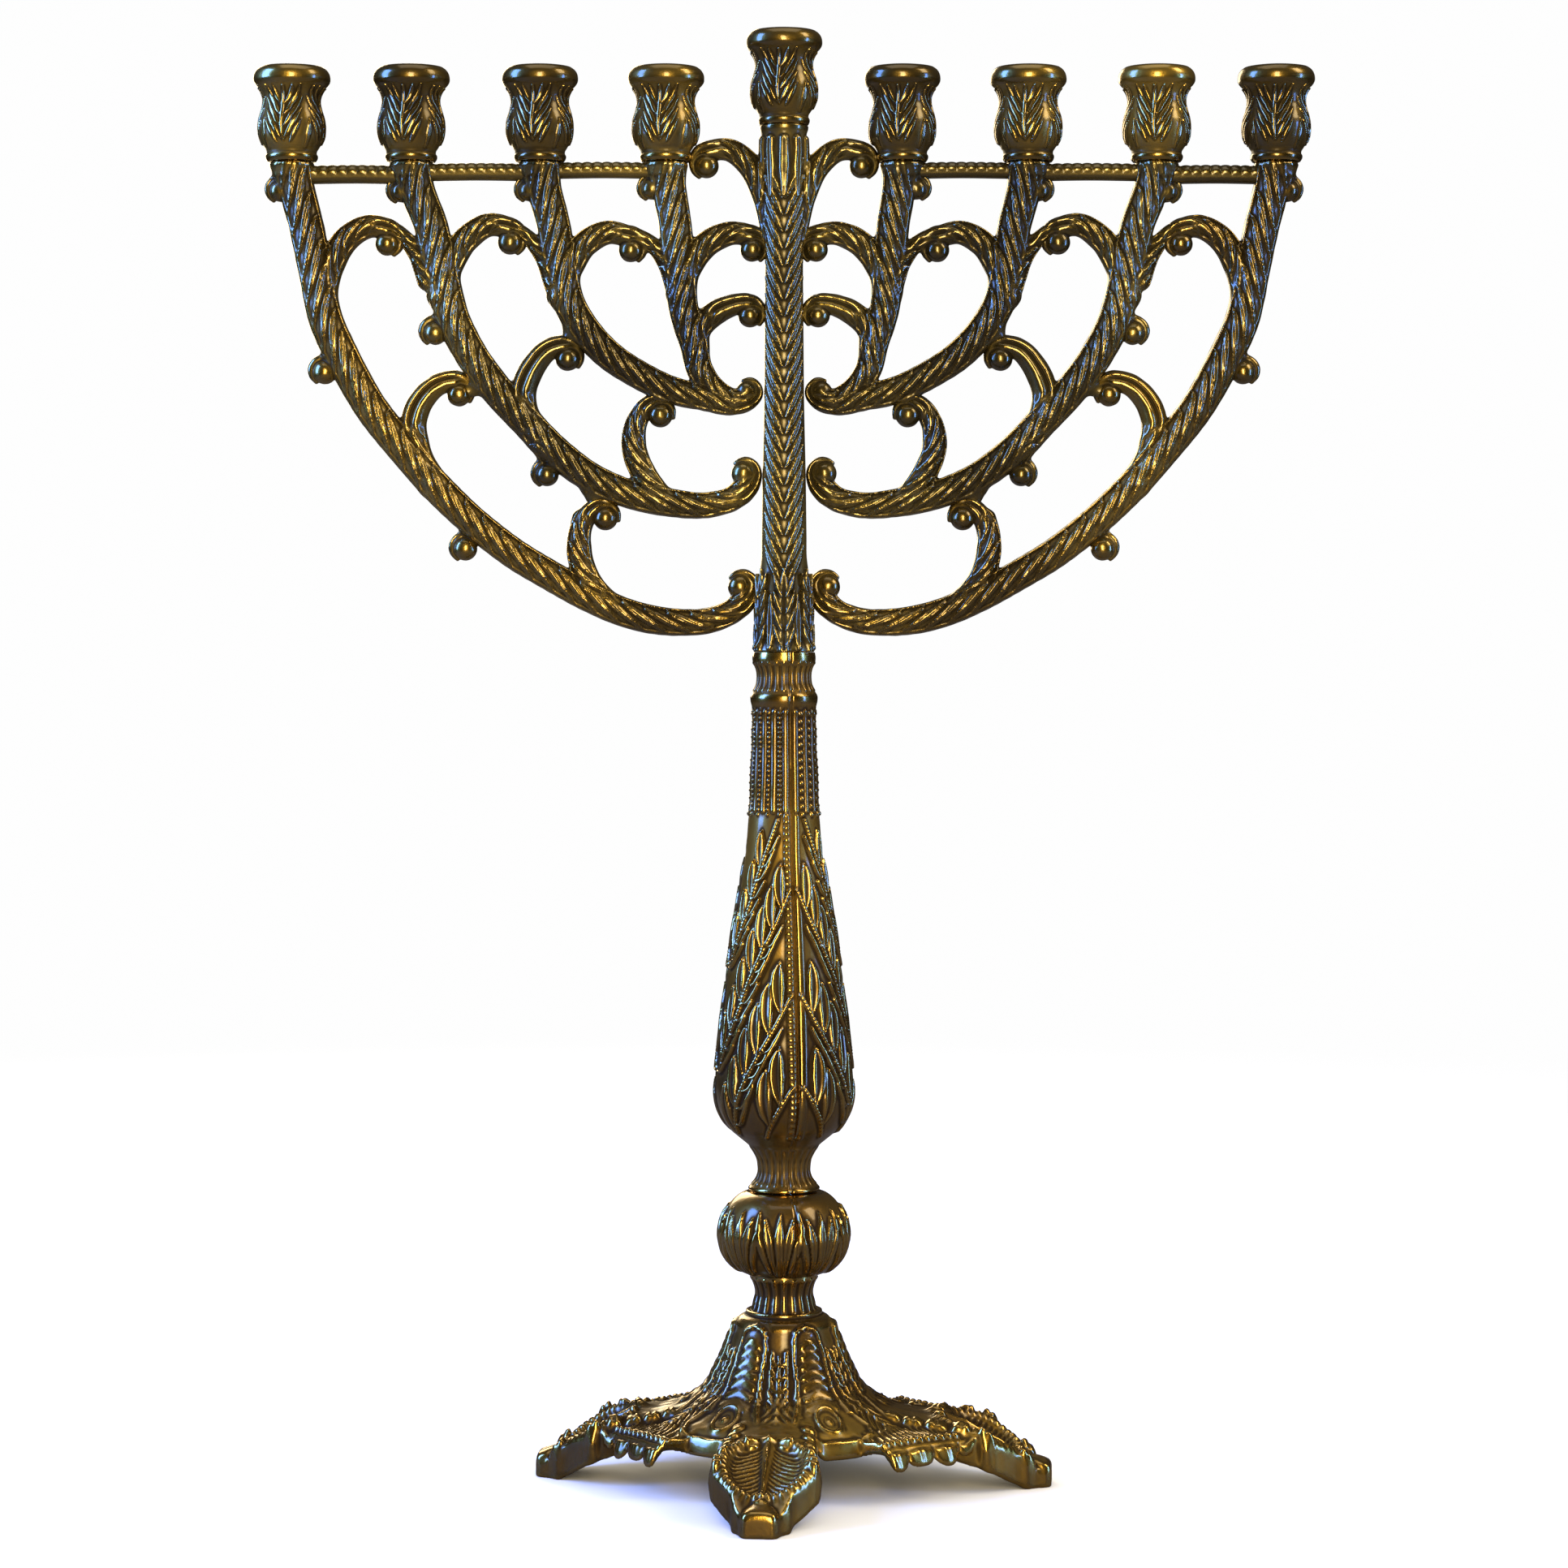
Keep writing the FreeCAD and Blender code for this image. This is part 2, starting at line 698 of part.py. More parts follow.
def export_parts():
    os.makedirs("parts", exist_ok=True)
    for label, thing in nodes.items():
        thing.Shape.exportStep(os.path.join("parts", f"{label}.step"))
        print(label, len(thing.Shape.Solids), round(thing.Shape.Volume))


make_base()
make_spool()
make_knop()
make_baluster()
make_shaft()
make_arm("outer", OUTER_ARM, [D["outer_cup_offset"]])
make_arm("middle", MIDDLE_ARM, [D["third_cup_offset"]])
make_arm("inner", INNER_ARM, [D["second_cup_offset"], D["inner_cup_offset"]])
for bar_place, bar_ends in BARS.items():
    make_bar(bar_place, *bar_ends)
make_cups()
make_studs()
make_rod()
make_washer()
make_nut()
doc.recompute()
check_document()
export_parts()
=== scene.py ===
import json
import math

import bpy
import numpy as np
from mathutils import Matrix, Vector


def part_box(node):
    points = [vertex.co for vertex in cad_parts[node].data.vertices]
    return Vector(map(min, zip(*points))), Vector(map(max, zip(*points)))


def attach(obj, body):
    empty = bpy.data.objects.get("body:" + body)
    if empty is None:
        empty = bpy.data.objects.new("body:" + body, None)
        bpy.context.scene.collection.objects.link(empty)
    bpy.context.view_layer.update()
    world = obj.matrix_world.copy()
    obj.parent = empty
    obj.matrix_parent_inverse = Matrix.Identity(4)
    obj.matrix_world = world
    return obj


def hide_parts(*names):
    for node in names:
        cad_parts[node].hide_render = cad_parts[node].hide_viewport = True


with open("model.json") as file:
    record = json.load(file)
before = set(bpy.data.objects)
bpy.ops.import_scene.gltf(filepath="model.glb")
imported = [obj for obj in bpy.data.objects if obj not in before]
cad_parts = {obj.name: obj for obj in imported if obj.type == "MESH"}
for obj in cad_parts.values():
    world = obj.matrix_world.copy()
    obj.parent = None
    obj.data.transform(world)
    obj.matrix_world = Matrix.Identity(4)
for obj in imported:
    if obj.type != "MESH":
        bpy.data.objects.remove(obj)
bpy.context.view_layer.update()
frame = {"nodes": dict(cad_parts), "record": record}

import openvdb
from mathutils import Vector

# Shapes are modelled in millimetres and turned into metres when a mesh is made.
MM = 0.001
BODY_OF = {node: body for body, nodes in frame["record"]["behaviour"]["bodies"].items() for node in nodes}
# The largest distance from a surface that a block of clay records.
FAR = 4.0


def node_box(node):
    """Lowest and highest corner of a CAD node in millimetres."""
    low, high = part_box(node)
    return np.array(low) / MM, np.array(high) / MM


def middle_x(node):
    """Place of a CAD node's middle along the row of cups, in millimetres."""
    low, high = node_box(node)
    return float(low[0] + high[0]) / 2


# ---- number helpers

def step_up(low, high, value):
    """0 below low, 1 above high, smooth between."""
    share = np.clip((value - low) / (high - low), 0.0, 1.0)
    return share * share * (3.0 - 2.0 * share)


def bump(centre, width, value):
    """A smooth hill of height 1."""
    return np.exp(-((value - centre) / width) ** 2)


def dome(away):
    """A round hill of height 1, which ends where away is 1."""
    return np.sqrt(np.clip(1.0 - away ** 2, 0.0, 1.0))


def ripple(value, pitch):
    """Waves between 0 and 1, with a crest at 0."""
    return 0.5 + 0.5 * np.cos(2 * math.pi * value / pitch)


def cell_phase(value, pitch):
    """Signed place inside a repeating cell: 0 at its centre, -1 and 1 at its ends."""
    return 2.0 * (value / pitch + 0.5 - np.floor(value / pitch + 0.5)) - 1.0


def table_of(rows, value):
    """The value of a curve given as (place, value) rows."""
    return np.interp(value, [row[0] for row in rows], [row[1] for row in rows])


def smooth_min(first, second, blend):
    """The lower of two fields, with a fillet of about the blend size where they meet."""
    near = np.maximum(blend - np.abs(first - second), 0.0) / blend
    return np.minimum(first, second) - near * near * blend * 0.25


def wave_noise(points, scale, seed):
    """Soft lumpy noise between -1 and 1 from a few turned sine waves."""
    rng = np.random.default_rng(seed)
    total = 0.0
    for _ in range(5):
        direction = rng.normal(size=len(points))
        direction /= np.linalg.norm(direction)
        phase = rng.uniform(0, 2 * math.pi)
        stretch = scale * rng.uniform(0.7, 1.4)
        along = sum(part * line for part, line in zip(direction, points))
        total = total + np.sin(along * (2 * math.pi / stretch) + phase)
    return total / 3.0


def curve_through(points, spacing=0.6):
    """Evenly spaced points along a smooth curve through the given points, with the arc length at each."""
    knots = np.array(points, float)
    gaps = np.linalg.norm(np.diff(knots, axis=0), axis=1)
    at = np.concatenate([[0], np.cumsum(gaps)])
    slopes = np.gradient(knots, at, axis=0)
    fine = np.linspace(0, at[-1], max(int(at[-1] / 0.1), 8))
    index = np.clip(np.searchsorted(at, fine, side="right") - 1, 0, len(at) - 2)
    width = (at[index + 1] - at[index])[:, None]
    share = ((fine - at[index]) / (at[index + 1] - at[index]))[:, None]
    path = ((2 * share ** 3 - 3 * share ** 2 + 1) * knots[index]
            + (share ** 3 - 2 * share ** 2 + share) * width * slopes[index]
            + (3 * share ** 2 - 2 * share ** 3) * knots[index + 1]
            + (share ** 3 - share ** 2) * width * slopes[index + 1])
    lengths = np.concatenate([[0], np.cumsum(np.linalg.norm(np.diff(path, axis=0), axis=1))])
    count = max(int(lengths[-1] / spacing), 6)
    even = np.linspace(0, lengths[-1], count + 1)
    return np.stack([np.interp(even, lengths, path[:, 0]), np.interp(even, lengths, path[:, 1])], 1), even


# ---- meshes

def new_object(name, data):
    thing = bpy.data.objects.new(name, data)
    bpy.context.scene.collection.objects.link(thing)
    return thing


def mesh_points(mesh):
    """The points of a mesh, in metres."""
    values = np.empty(len(mesh.vertices) * 3, np.float32)
    mesh.vertices.foreach_get("co", values)
    return values.reshape(-1, 3)


def move_points(mesh, points):
    """Gives a mesh new points, in metres."""
    mesh.vertices.foreach_set("co", points.astype(np.float32).ravel())


def relief_attribute(mesh, rounds=14):
    """Stores how far each point stands above (+) or below (-) its smoothed surroundings, in millimetres."""
    points = mesh_points(mesh).astype(np.float64)
    count = len(points)
    edges = np.empty(len(mesh.edges) * 2, np.int32)
    mesh.edges.foreach_get("vertices", edges)
    first, second = edges.reshape(-1, 2).T
    degree = np.maximum(np.bincount(edges, minlength=count), 1)
    normals = np.empty(count * 3, np.float32)
    mesh.vertex_normals.foreach_get("vector", normals)
    smooth = points.copy()
    for _ in range(rounds):
        nearby = [np.bincount(first, values[second], minlength=count)
                  + np.bincount(second, values[first], minlength=count) for values in smooth.T]
        smooth = 0.35 * smooth + 0.65 * np.stack(nearby, 1) / degree[:, None]
    height = ((points - smooth) * normals.reshape(-1, 3)).sum(1) / MM
    layer = mesh.attributes.new("relief", "FLOAT", "POINT")
    layer.data.foreach_set("value", height.astype(np.float32))


def make_mesh(name, points, quads, material, caps=()):
    """A smooth mesh object from points in millimetres, an array of quads and any many-sided end caps."""
    points = np.asarray(points, np.float64)
    quads = np.asarray(quads, np.int64)
    a, b, c, d = (points[quads[:, k]] for k in range(4))
    if (np.einsum("ij,ij->i", a, np.cross(b, c) + np.cross(c, d))).sum() < 0:
        quads = quads[:, ::-1]
        caps = [cap[::-1] for cap in caps]
    loops = np.concatenate([quads.ravel(), *caps]).astype(np.int32)
    sizes = np.concatenate([np.full(len(quads), 4), [len(cap) for cap in caps]]).astype(np.int32)
    starts = np.concatenate([[0], np.cumsum(sizes)[:-1]]).astype(np.int32)
    mesh = bpy.data.meshes.new(name)
    mesh.vertices.add(len(points))
    move_points(mesh, points * MM)
    mesh.loops.add(len(loops))
    mesh.loops.foreach_set("vertex_index", loops)
    mesh.polygons.add(len(starts))
    mesh.polygons.foreach_set("loop_start", starts)
    mesh.update(calc_edges=True)
    mesh.shade_smooth()
    mesh.set_sharp_from_angle(angle=math.radians(75))
    mesh.materials.append(material)
    relief_attribute(mesh)
    return new_object(name, mesh)


def stand_for(thing, node):
    """Puts a finished piece in place of a CAD node, on that node's body."""
    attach(thing, BODY_OF[node])
    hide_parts(node)


def stand_on_both_sides(right, node):
    """Puts a right-hand casting in place of its CAD node, and its mirror image in place of the left one."""
    name = right.name.replace("right", "left")
    mesh = right.data.copy()
    mesh.name = name
    move_points(mesh, mesh_points(mesh) * (-1, 1, 1))
    mesh.flip_normals()
    left = new_object(name, mesh)
    stand_for(right, node)
    stand_for(left, node.replace("right", "left"))


class Clay:
    """A block of cells that holds the distance to a casting's surface, below zero inside it."""

    def __init__(self, low, high, cell):
        self.low = np.array(low, float)
        self.cell = cell
        self.count = np.ceil((np.array(high, float) - self.low) / cell).astype(int) + 1
        self.field = np.full(self.count, FAR, np.float32)

    def window(self, low=None, high=None):
        """The part of the block inside a box, or all of it: its slices and the x, y and z of its cells."""
        low = self.low if low is None else low
        high = self.low + self.count * self.cell if high is None else high
        first = np.clip(np.floor((np.array(low) - self.low) / self.cell).astype(int), 0, self.count)
        last = np.clip(np.ceil((np.array(high) - self.low) / self.cell).astype(int) + 1, 0, self.count)
        slices = tuple(slice(a, b) for a, b in zip(first, last))
        x, y, z = [(self.low[i] + self.cell * np.arange(first[i], last[i])).astype(np.float32)
                   for i in range(3)]
        return slices, x[:, None, None], y[None, :, None], z[None, None, :]

    def add(self, slices, field, blend):
        self.field[slices] = smooth_min(self.field[slices], field, blend)

    def cut(self, slices, field, blend):
        """Takes away the space where field is below zero."""
        self.field[slices] = -smooth_min(-self.field[slices], field, blend)

    def keep(self, low, high, blend=0.05):
        """Cuts away what is below one level or above the other."""
        slices, x, y, z = self.window()
        self.cut(slices, np.minimum(high - z, z - low) + 0 * x + 0 * y, blend)

    def drill(self, radius, low, high):
        """A round hole along the stem's axis, from one level to another."""
        slices, x, y, z = self.window((-4.0, -4.0, low - 1.0), (4.0, 4.0, high + 1.0))
        self.cut(slices, np.maximum(np.hypot(x, y) - radius, np.maximum(low - z, z - high)), 0.1)

    def add_ball(self, centre, radius, blend):
        centre = np.array(centre, float)
        reach = radius + FAR
        slices, x, y, z = self.window(centre - reach, centre + reach)
        gap = np.sqrt((x - centre[0]) ** 2 + (y - centre[1]) ** 2 + (z - centre[2]) ** 2) - radius
        self.add(slices, gap, blend)

    def add_bar(self, path, along, radius, relief, blend, depth=1.0, side=1.0):
        """A bar that follows a path in the XZ plane. radius holds a value for each path point, and
        relief(s, q, y, radius) gives the height of its pattern: q runs from -1 on the outer side of
        the bend to +1 on the inner side."""
        reach = radius.max() + 2.0
        low = (path[:, 0].min() - reach, -reach * depth, path[:, 1].min() - reach)
        high = (path[:, 0].max() + reach, reach * depth, path[:, 1].max() + reach)
        slices, x, y, z = self.window(low, high)
        flat_x, flat_z = x[:, 0, 0], z[0, 0, :]
        # For each place in the plane: distance to the path, place along it, place across it, bar radius.
        maps = np.zeros((4, len(flat_x), len(flat_z)), np.float32)
        maps[0] = 1e3
        maps[3] = radius[0]
        for i in range(len(path) - 1):
            start, run = path[i], path[i + 1] - path[i]
            room = max(radius[i], radius[i + 1]) + 2.5
            corner_low = np.minimum(path[i], path[i + 1]) - room
            corner_high = np.maximum(path[i], path[i + 1]) + room
            i0, i1 = np.searchsorted(flat_x, [corner_low[0], corner_high[0]])
            k0, k1 = np.searchsorted(flat_z, [corner_low[1], corner_high[1]])
            dx = flat_x[i0:i1, None] - start[0]
            dz = flat_z[None, k0:k1] - start[1]
            long = np.hypot(*run)
            near = np.clip((dx * run[0] + dz * run[1]) / (long * long), 0.0, 1.0)
            found = np.stack([np.hypot(dx - near * run[0], dz - near * run[1]),
                              along[i] + near * (along[i + 1] - along[i]),
                              (dx * run[1] - dz * run[0]) / long,
                              radius[i] + near * (radius[i + 1] - radius[i])])
            part = maps[:, i0:i1, k0:k1]
            part[:] = np.where(found[0] < part[0], found, part)
        gap, place, across, thick = maps[:, :, None, :]
        lift = relief(place, np.clip(-side * across / thick, -1.2, 1.2), y, thick)
        field = np.sqrt(gap ** 2 + (y / depth) ** 2) - thick - lift
        self.add(slices, field.astype(np.float32), blend)

    def mesh(self, name, material):
        grid = openvdb.FloatGrid(1.0)
        grid.copyFromArray(np.clip(self.field / self.cell, -1.0, 1.0))
        points, quads = grid.convertToQuads(isovalue=0.0)
        points = np.asarray(points, float) * self.cell + self.low
        return make_mesh(name, points, np.asarray(quads)[:, ::-1], material)


def plain(s, q, y, radius):
    return 0.0


# ---- materials

class Nodes:
    """Short calls for wiring up the nodes of a material or of the world."""

    def __init__(self, owner):
        owner.use_nodes = True
        self.tree = owner.node_tree

    def feed(self, node, values):
        """Gives inputs to a node: a number or a colour sets its socket, another node's output is joined."""
        for name, value in values.items():
            socket = node.inputs[name]
            if isinstance(value, (int, float)):
                socket.default_value = value
            elif isinstance(value, tuple):
                socket.default_value = (*value, 1.0)
            else:
                self.tree.links.new(value, socket)

    def new(self, kind, values=(), **settings):
        """Adds a node, with its inputs by name or number, and its settings by name."""
        node = self.tree.nodes.new("ShaderNode" + kind)
        for name, value in settings.items():
            setattr(node, name, value)
        self.feed(node, dict(values))
        return node

    def surface(self, values):
        self.feed(self.tree.nodes["Principled BSDF"], values)

    def place(self):
        return self.new("TexCoord").outputs["Object"]

    def noise(self, vector, scale, detail=3.0, roughness=0.55):
        values = {"Vector": vector, "Scale": scale, "Detail": detail, "Roughness": roughness}
        return self.new("TexNoise", values).outputs["Fac"]

    def maths(self, kind, *values, clamp=False):
        return self.new("Math", enumerate(values), operation=kind, use_clamp=clamp).outputs[0]

    def span(self, value, low, high, to_low=0.0, to_high=1.0):
        """A value that runs smoothly from to_low to to_high while the given one runs from low to high."""
        values = {"Value": value, "From Min": low, "From Max": high, "To Min": to_low, "To Max": to_high}
        return self.new("MapRange", values, interpolation_type="SMOOTHSTEP").outputs["Result"]

    def mix(self, share, first, second):
        """A colour between two others; the node's colour sockets are numbers 6 and 7."""
        return self.new("Mix", {0: share, 6: first, 7: second}, data_type="RGBA").outputs[2]

    def bumps(self, height, strength, distance):
        values = {"Height": height, "Strength": strength, "Distance": distance}
        return self.new("Bump", values).outputs["Normal"]

    def ramp(self, value, stops):
        """A colour from a row of (place, colour) stops."""
        node = self.new("ValToRGB", {0: value})
        element = node.color_ramp.elements
        while len(element) < len(stops):
            element.new(0.5)
        for item, (place, colour) in zip(element, stops):
            item.position = place
            item.color = (*colour, 1.0)
        return node.outputs[0]


def antique_brass(name, bright, dull, patina_and_shade_colour, tint, patina_and_shade_spread, polish):
    """Cast brass: rubbed bright on its ridges, brown-black patina with painted shade in its recesses and on
    its flats, small cast grain.
    """
    material = bpy.data.materials.new(name)
    nodes = Nodes(material)
    place = nodes.place()
    height = nodes.new("Attribute", attribute_name="relief").outputs["Fac"]
    patches = nodes.noise(place, 55.0, 4.0)
    cloud = nodes.noise(place, 14.0, 2.0)
    speck = nodes.noise(place, 900.0, 3.0, 0.7)
    level = nodes.maths("ADD", height, nodes.maths("MULTIPLY_ADD", patches, 0.16, -0.08))
    # Mask of real patina in the hollows plus painted shade there and on the flats: it grows as the relief
    # sinks.
    recess_patina_and_shade = nodes.span(level, 0.12, -0.16 / patina_and_shade_spread)
    ridge = nodes.span(level, 0.02, 0.24)
    metal = nodes.mix(nodes.span(cloud, 0.40, 0.72), dull, bright)
    metal = nodes.mix(nodes.span(patches, 0.50, 0.76, 0.0, 0.6), metal, tint)
    metal = nodes.mix(nodes.maths("MULTIPLY", ridge, 0.6), metal, bright)
    # Painted shade, partly real patina: recesses and flats are pulled towards the dark colour.
    colour = nodes.mix(nodes.maths("MULTIPLY", recess_patina_and_shade, 0.93), metal, patina_and_shade_colour)
    rough = nodes.maths("MULTIPLY_ADD", patches, 0.22, polish)
    rough = nodes.maths("ADD", rough, nodes.maths("MULTIPLY", recess_patina_and_shade, 0.26))
    grain = nodes.maths("ADD", nodes.maths("MULTIPLY", speck, 0.35), nodes.noise(place, 260.0, 4.0))
    nodes.surface({
        "Base Color": nodes.mix(nodes.span(speck, 0.62, 0.78, 0.0, 0.45), colour, patina_and_shade_colour),
        "Metallic": nodes.span(recess_patina_and_shade, 0.0, 1.0, 1.0, 0.55),
        "Roughness": nodes.maths("SUBTRACT", rough, nodes.maths("MULTIPLY", ridge, 0.07), clamp=True),
        "Coat Weight": nodes.span(recess_patina_and_shade, 0.0, 1.0, 0.7, 0.0),
        "Coat Roughness": 0.12,
        "Coat IOR": 1.75,
        "Specular IOR Level": nodes.span(recess_patina_and_shade, 0.0, 1.0, 0.5, 0.1),
        "Normal": nodes.bumps(grain, 0.32, 0.00035),
    })
    return material


def plain_steel(name):
    material = bpy.data.materials.new(name)
    nodes = Nodes(material)
    streak = nodes.noise(nodes.place(), 320.0, 4.0)
    cloud = nodes.noise(nodes.place(), 60.0, 3.0)
    nodes.surface({
        "Base Color": nodes.mix(nodes.span(cloud, 0.4, 0.7), (0.50, 0.48, 0.44), (0.26, 0.21, 0.16)),
        "Metallic": 1.0,
        "Roughness": nodes.span(streak, 0.2, 0.8, 0.28, 0.5),
        "Normal": nodes.bumps(streak, 0.3, 0.0002),
    })
    return material


def studio_floor(name):
    """Matt pale floor that fades into the backdrop, and looks dark when mirrored in the metal."""
    material = bpy.data.materials.new(name)
    nodes = Nodes(material)
    colour = nodes.mix(nodes.noise(nodes.place(), 3.0, 3.0), (0.80, 0.80, 0.79), (0.84, 0.84, 0.83))
    mirrored = nodes.maths("MULTIPLY", nodes.new("LightPath").outputs["Is Glossy Ray"], 0.96)
    gone = nodes.new("VectorMath", {0: nodes.place()}, operation="LENGTH").outputs["Value"]
    nodes.surface({
        "Base Color": nodes.mix(mirrored, colour, (0.05, 0.04, 0.03)),
        "Roughness": 0.8,
        "Alpha": nodes.span(gone, 0.35, 1.1, 1.0, 0.0),
    })
    return material


# The third colour is the patina and painted shade of the recesses, and the colour of the dark specks.
GOLD = antique_brass("antique_brass", (0.60, 0.36, 0.045), (0.155, 0.084, 0.012), (0.012, 0.007, 0.0035),
                     (0.13, 0.098, 0.036), 1.3, 0.15)
CUP_GOLD = antique_brass("cup_brass", (0.50, 0.32, 0.045), (0.12, 0.075, 0.013), (0.010, 0.007, 0.0035),
                         (0.10, 0.085, 0.036), 1.4, 0.13)
OLIVE = antique_brass("olive_brass", (0.33, 0.235, 0.05), (0.10, 0.070, 0.016), (0.010, 0.007, 0.0035),
                      (0.09, 0.08, 0.036), 1.4, 0.18)
ARM_GOLD = antique_brass("arm_brass", (0.42, 0.27, 0.042), (0.12, 0.075, 0.013), (0.011, 0.0075, 0.0035),
                         (0.11, 0.09, 0.036), 1.4, 0.16)
STEEL = plain_steel("plain_steel")


# ---- scroll arms

LEAF_SLANT = math.radians(25)
# Width and height of a leaf on a bar, by place across the bar: -1 on its outer side, 1 on its inner side.
LEAF_WIDTH = [(-0.95, 0.2), (-0.6, 0.45), (-0.3, 0.62), (0.05, 0.86), (0.35, 0.9), (0.6, 0.62), (0.82, 0.05)]
LEAF_RISE = [(-0.95, 0.25), (-0.55, 0.55), (-0.1, 0.8), (0.3, 1.0), (0.7, 0.9)]
# Spacing of the points along a curl.
WRAP_STEP = 0.5


def laurel(pitch, raise_by=0.95):
    """Relief of slender pointed leaves that run up a bar: tips towards its inner side, tails towards the
    outer side, each leaf with a vein and a rim, and a plain band along the outer edge."""
    lean = 1.0 / (pitch * math.tan(LEAF_SLANT))

    def relief(s, q, y, radius):
        place = cell_phase(s / pitch - q * radius * lean - 0.5, 1.0)
        off = np.clip(place / table_of(LEAF_WIDTH, q), -1.0, 1.0)
        leaf = dome(off) * (0.62 + 0.38 * ripple(off, 2 / 3)) * table_of(LEAF_RISE, q)
        face = step_up(-0.92, -0.6, q) * step_up(0.9, 0.8, q)
        front = step_up(0.12, 0.5, np.abs(y) / radius)
        edge_band = bump(-0.85, 0.16, q) * 0.12 + bump(0.93, 0.07, q) * 0.22
        return (raise_by * (leaf - 0.55) * face + edge_band) * front

    return relief


def scroll_relief(total, leafy):
    """Relief of a curl: leaves over its leafy share, then a smooth outer band, a channel and a ridge."""
    leaves = laurel(5.2, 0.85)

    def relief(s, q, y, radius):
        front = step_up(0.1, 0.45, np.abs(y) / radius)
        to_tip = step_up((leafy - 0.12) * total, (leafy + 0.08) * total, s)
        fade = step_up(0.92 * total, 0.75 * total, s)
        channel = -0.75 * bump(0.22, 0.2, q) + 0.3 * bump(-0.35, 0.35, q) + 0.25 * bump(0.62, 0.16, q)
        return leaves(s, q, y, radius) * (1.0 - to_tip) + channel * front * to_tip * fade * radius / 2.6

    return relief


def add_scroll(clay, points, ball, ball_radius, root, tip, wrap=150.0, patterned=True):
    """A curl that leaves an arm, runs over its ball and closes round the far side of it."""
    centre = np.array(ball, float)
    last = np.array(points[-1], float)
    heading = last - np.array(points[-2], float)
    start = last - centre
    turn = math.copysign(1.0, start[0] * heading[1] - start[1] * heading[0])
    angle = math.atan2(start[1], start[0])
    begin = np.hypot(*start)
    lip = ball_radius + 0.25
    share = np.linspace(0.2, 1.0, 5)[:, None]
    bearing = angle + turn * math.radians(wrap) * share
    reach = begin + (lip - begin) * np.minimum(share * 1.4, 1.0)
    hook = centre + reach * np.concatenate([np.cos(bearing), np.sin(bearing)], 1)
    path, along = curve_through(np.concatenate([points, hook]), WRAP_STEP)
    # The share of the curl before it bends round its ball; from there it thins to a lip.
    main = 1.0 - (math.radians(wrap) * lip) / along[-1]
    radius = np.interp(along / along[-1], [0.0, main * 0.6, main, main + 0.6 * (1 - main), 1.0],
                       [root, root * 0.97, tip, 1.15, 0.6])
    relief = scroll_relief(along[-1], 0.7 if wrap > 145.0 else 0.38) if patterned else plain
    clay.add_bar(path, along, radius, relief, 1.0, side=-turn)
    clay.add_ball((centre[0], 0.0, centre[1]), ball_radius, 0.3)


def add_web(clay, first, second, radius):
    """A short bridge of metal between two castings' parts that touch."""
    path, along = curve_through([first, second], 0.4)
    clay.add_bar(path, along, np.full(len(path), radius), plain, 1.6, depth=0.8)


ARM_TOP = node_box("cup_right_1")[0][2]
CUP_X = [middle_x(f"cup_right_{number}") for number in (1, 2, 3, 4)]
ARM_CELL = 0.27

# Each arm: its cup, the pitch of its leaves, its centre line from the stem to the cup, the radius along it
# and how far it is pushed outward. Then its curls (points, ball, ball radius, root radius, tip radius,
# degrees round the ball), its loose leaves (points, root radius, tip radius) and its webs (two ends,
# radius). Points are (distance from the stem, height).
OUTER = {
    "cup": 3,
    "pitch": 6.2,
    "path": [(10.6, 230.6), (13.2, 227.8), (18, 225.7), (28, 224.9), (40, 226.9), (50, 231),
             (60, 236.5), (70, 242.5), (81.6, 251.5), (90.7, 260.2), (99.5, 270.3), (108.1, 281.3),
             (115, 293.6), (119.5, 303.5), (122.2, 315.4), (125.1, 328), (127.4, 337)],
    "radius": [3, 3.8, 4, 4.05, 4.3, 4.5, 4.55, 4.7],
    "outward": 0.45,
    "curls": [
        ([(121, 309), (118.6, 318), (114, 325.4), (108.4, 328.2), (104.2, 327.6)],
         (104, 323.6), 3.1, 3.5, 2.8, 150),
        ([(92.4, 260.7), (96.2, 270.2), (96.9, 277.7), (94.5, 283.2), (90.4, 286.8), (86.5, 287.8)],
         (85.2, 284.1), 3.1, 3.5, 2.7, 140),
        ([(46.4, 229), (51.6, 236), (53.7, 243.5), (53.1, 249.5), (50, 254.2)],
         (46.8, 251.7), 3.2, 3.4, 2.4, 150),
        ([(21, 224.8), (13.4, 227.2), (9, 230.8), (8, 234.8)],
         (11.5, 233.8), 3.2, 2.8, 1.6, 120),
        ([(110.5, 285), (115, 288.8), (117.6, 292.2), (119.6, 293.6)],
         (120.3, 290), 3.2, 2, 1.2, 150),
        ([(69, 242.6), (76, 245.6), (80, 247.2), (83, 247.3)],
         (83.5, 243.7), 3.1, 2.3, 1.2, 150),
        ([(126, 328), (128.8, 334.6), (129.6, 338.9), (131.6, 340.8)],
         (131.9, 337.5), 2.9, 2.2, 1.2, 150),
    ],
    "webs": [((53.8, 252), (54, 247.4), 1.5)],
}
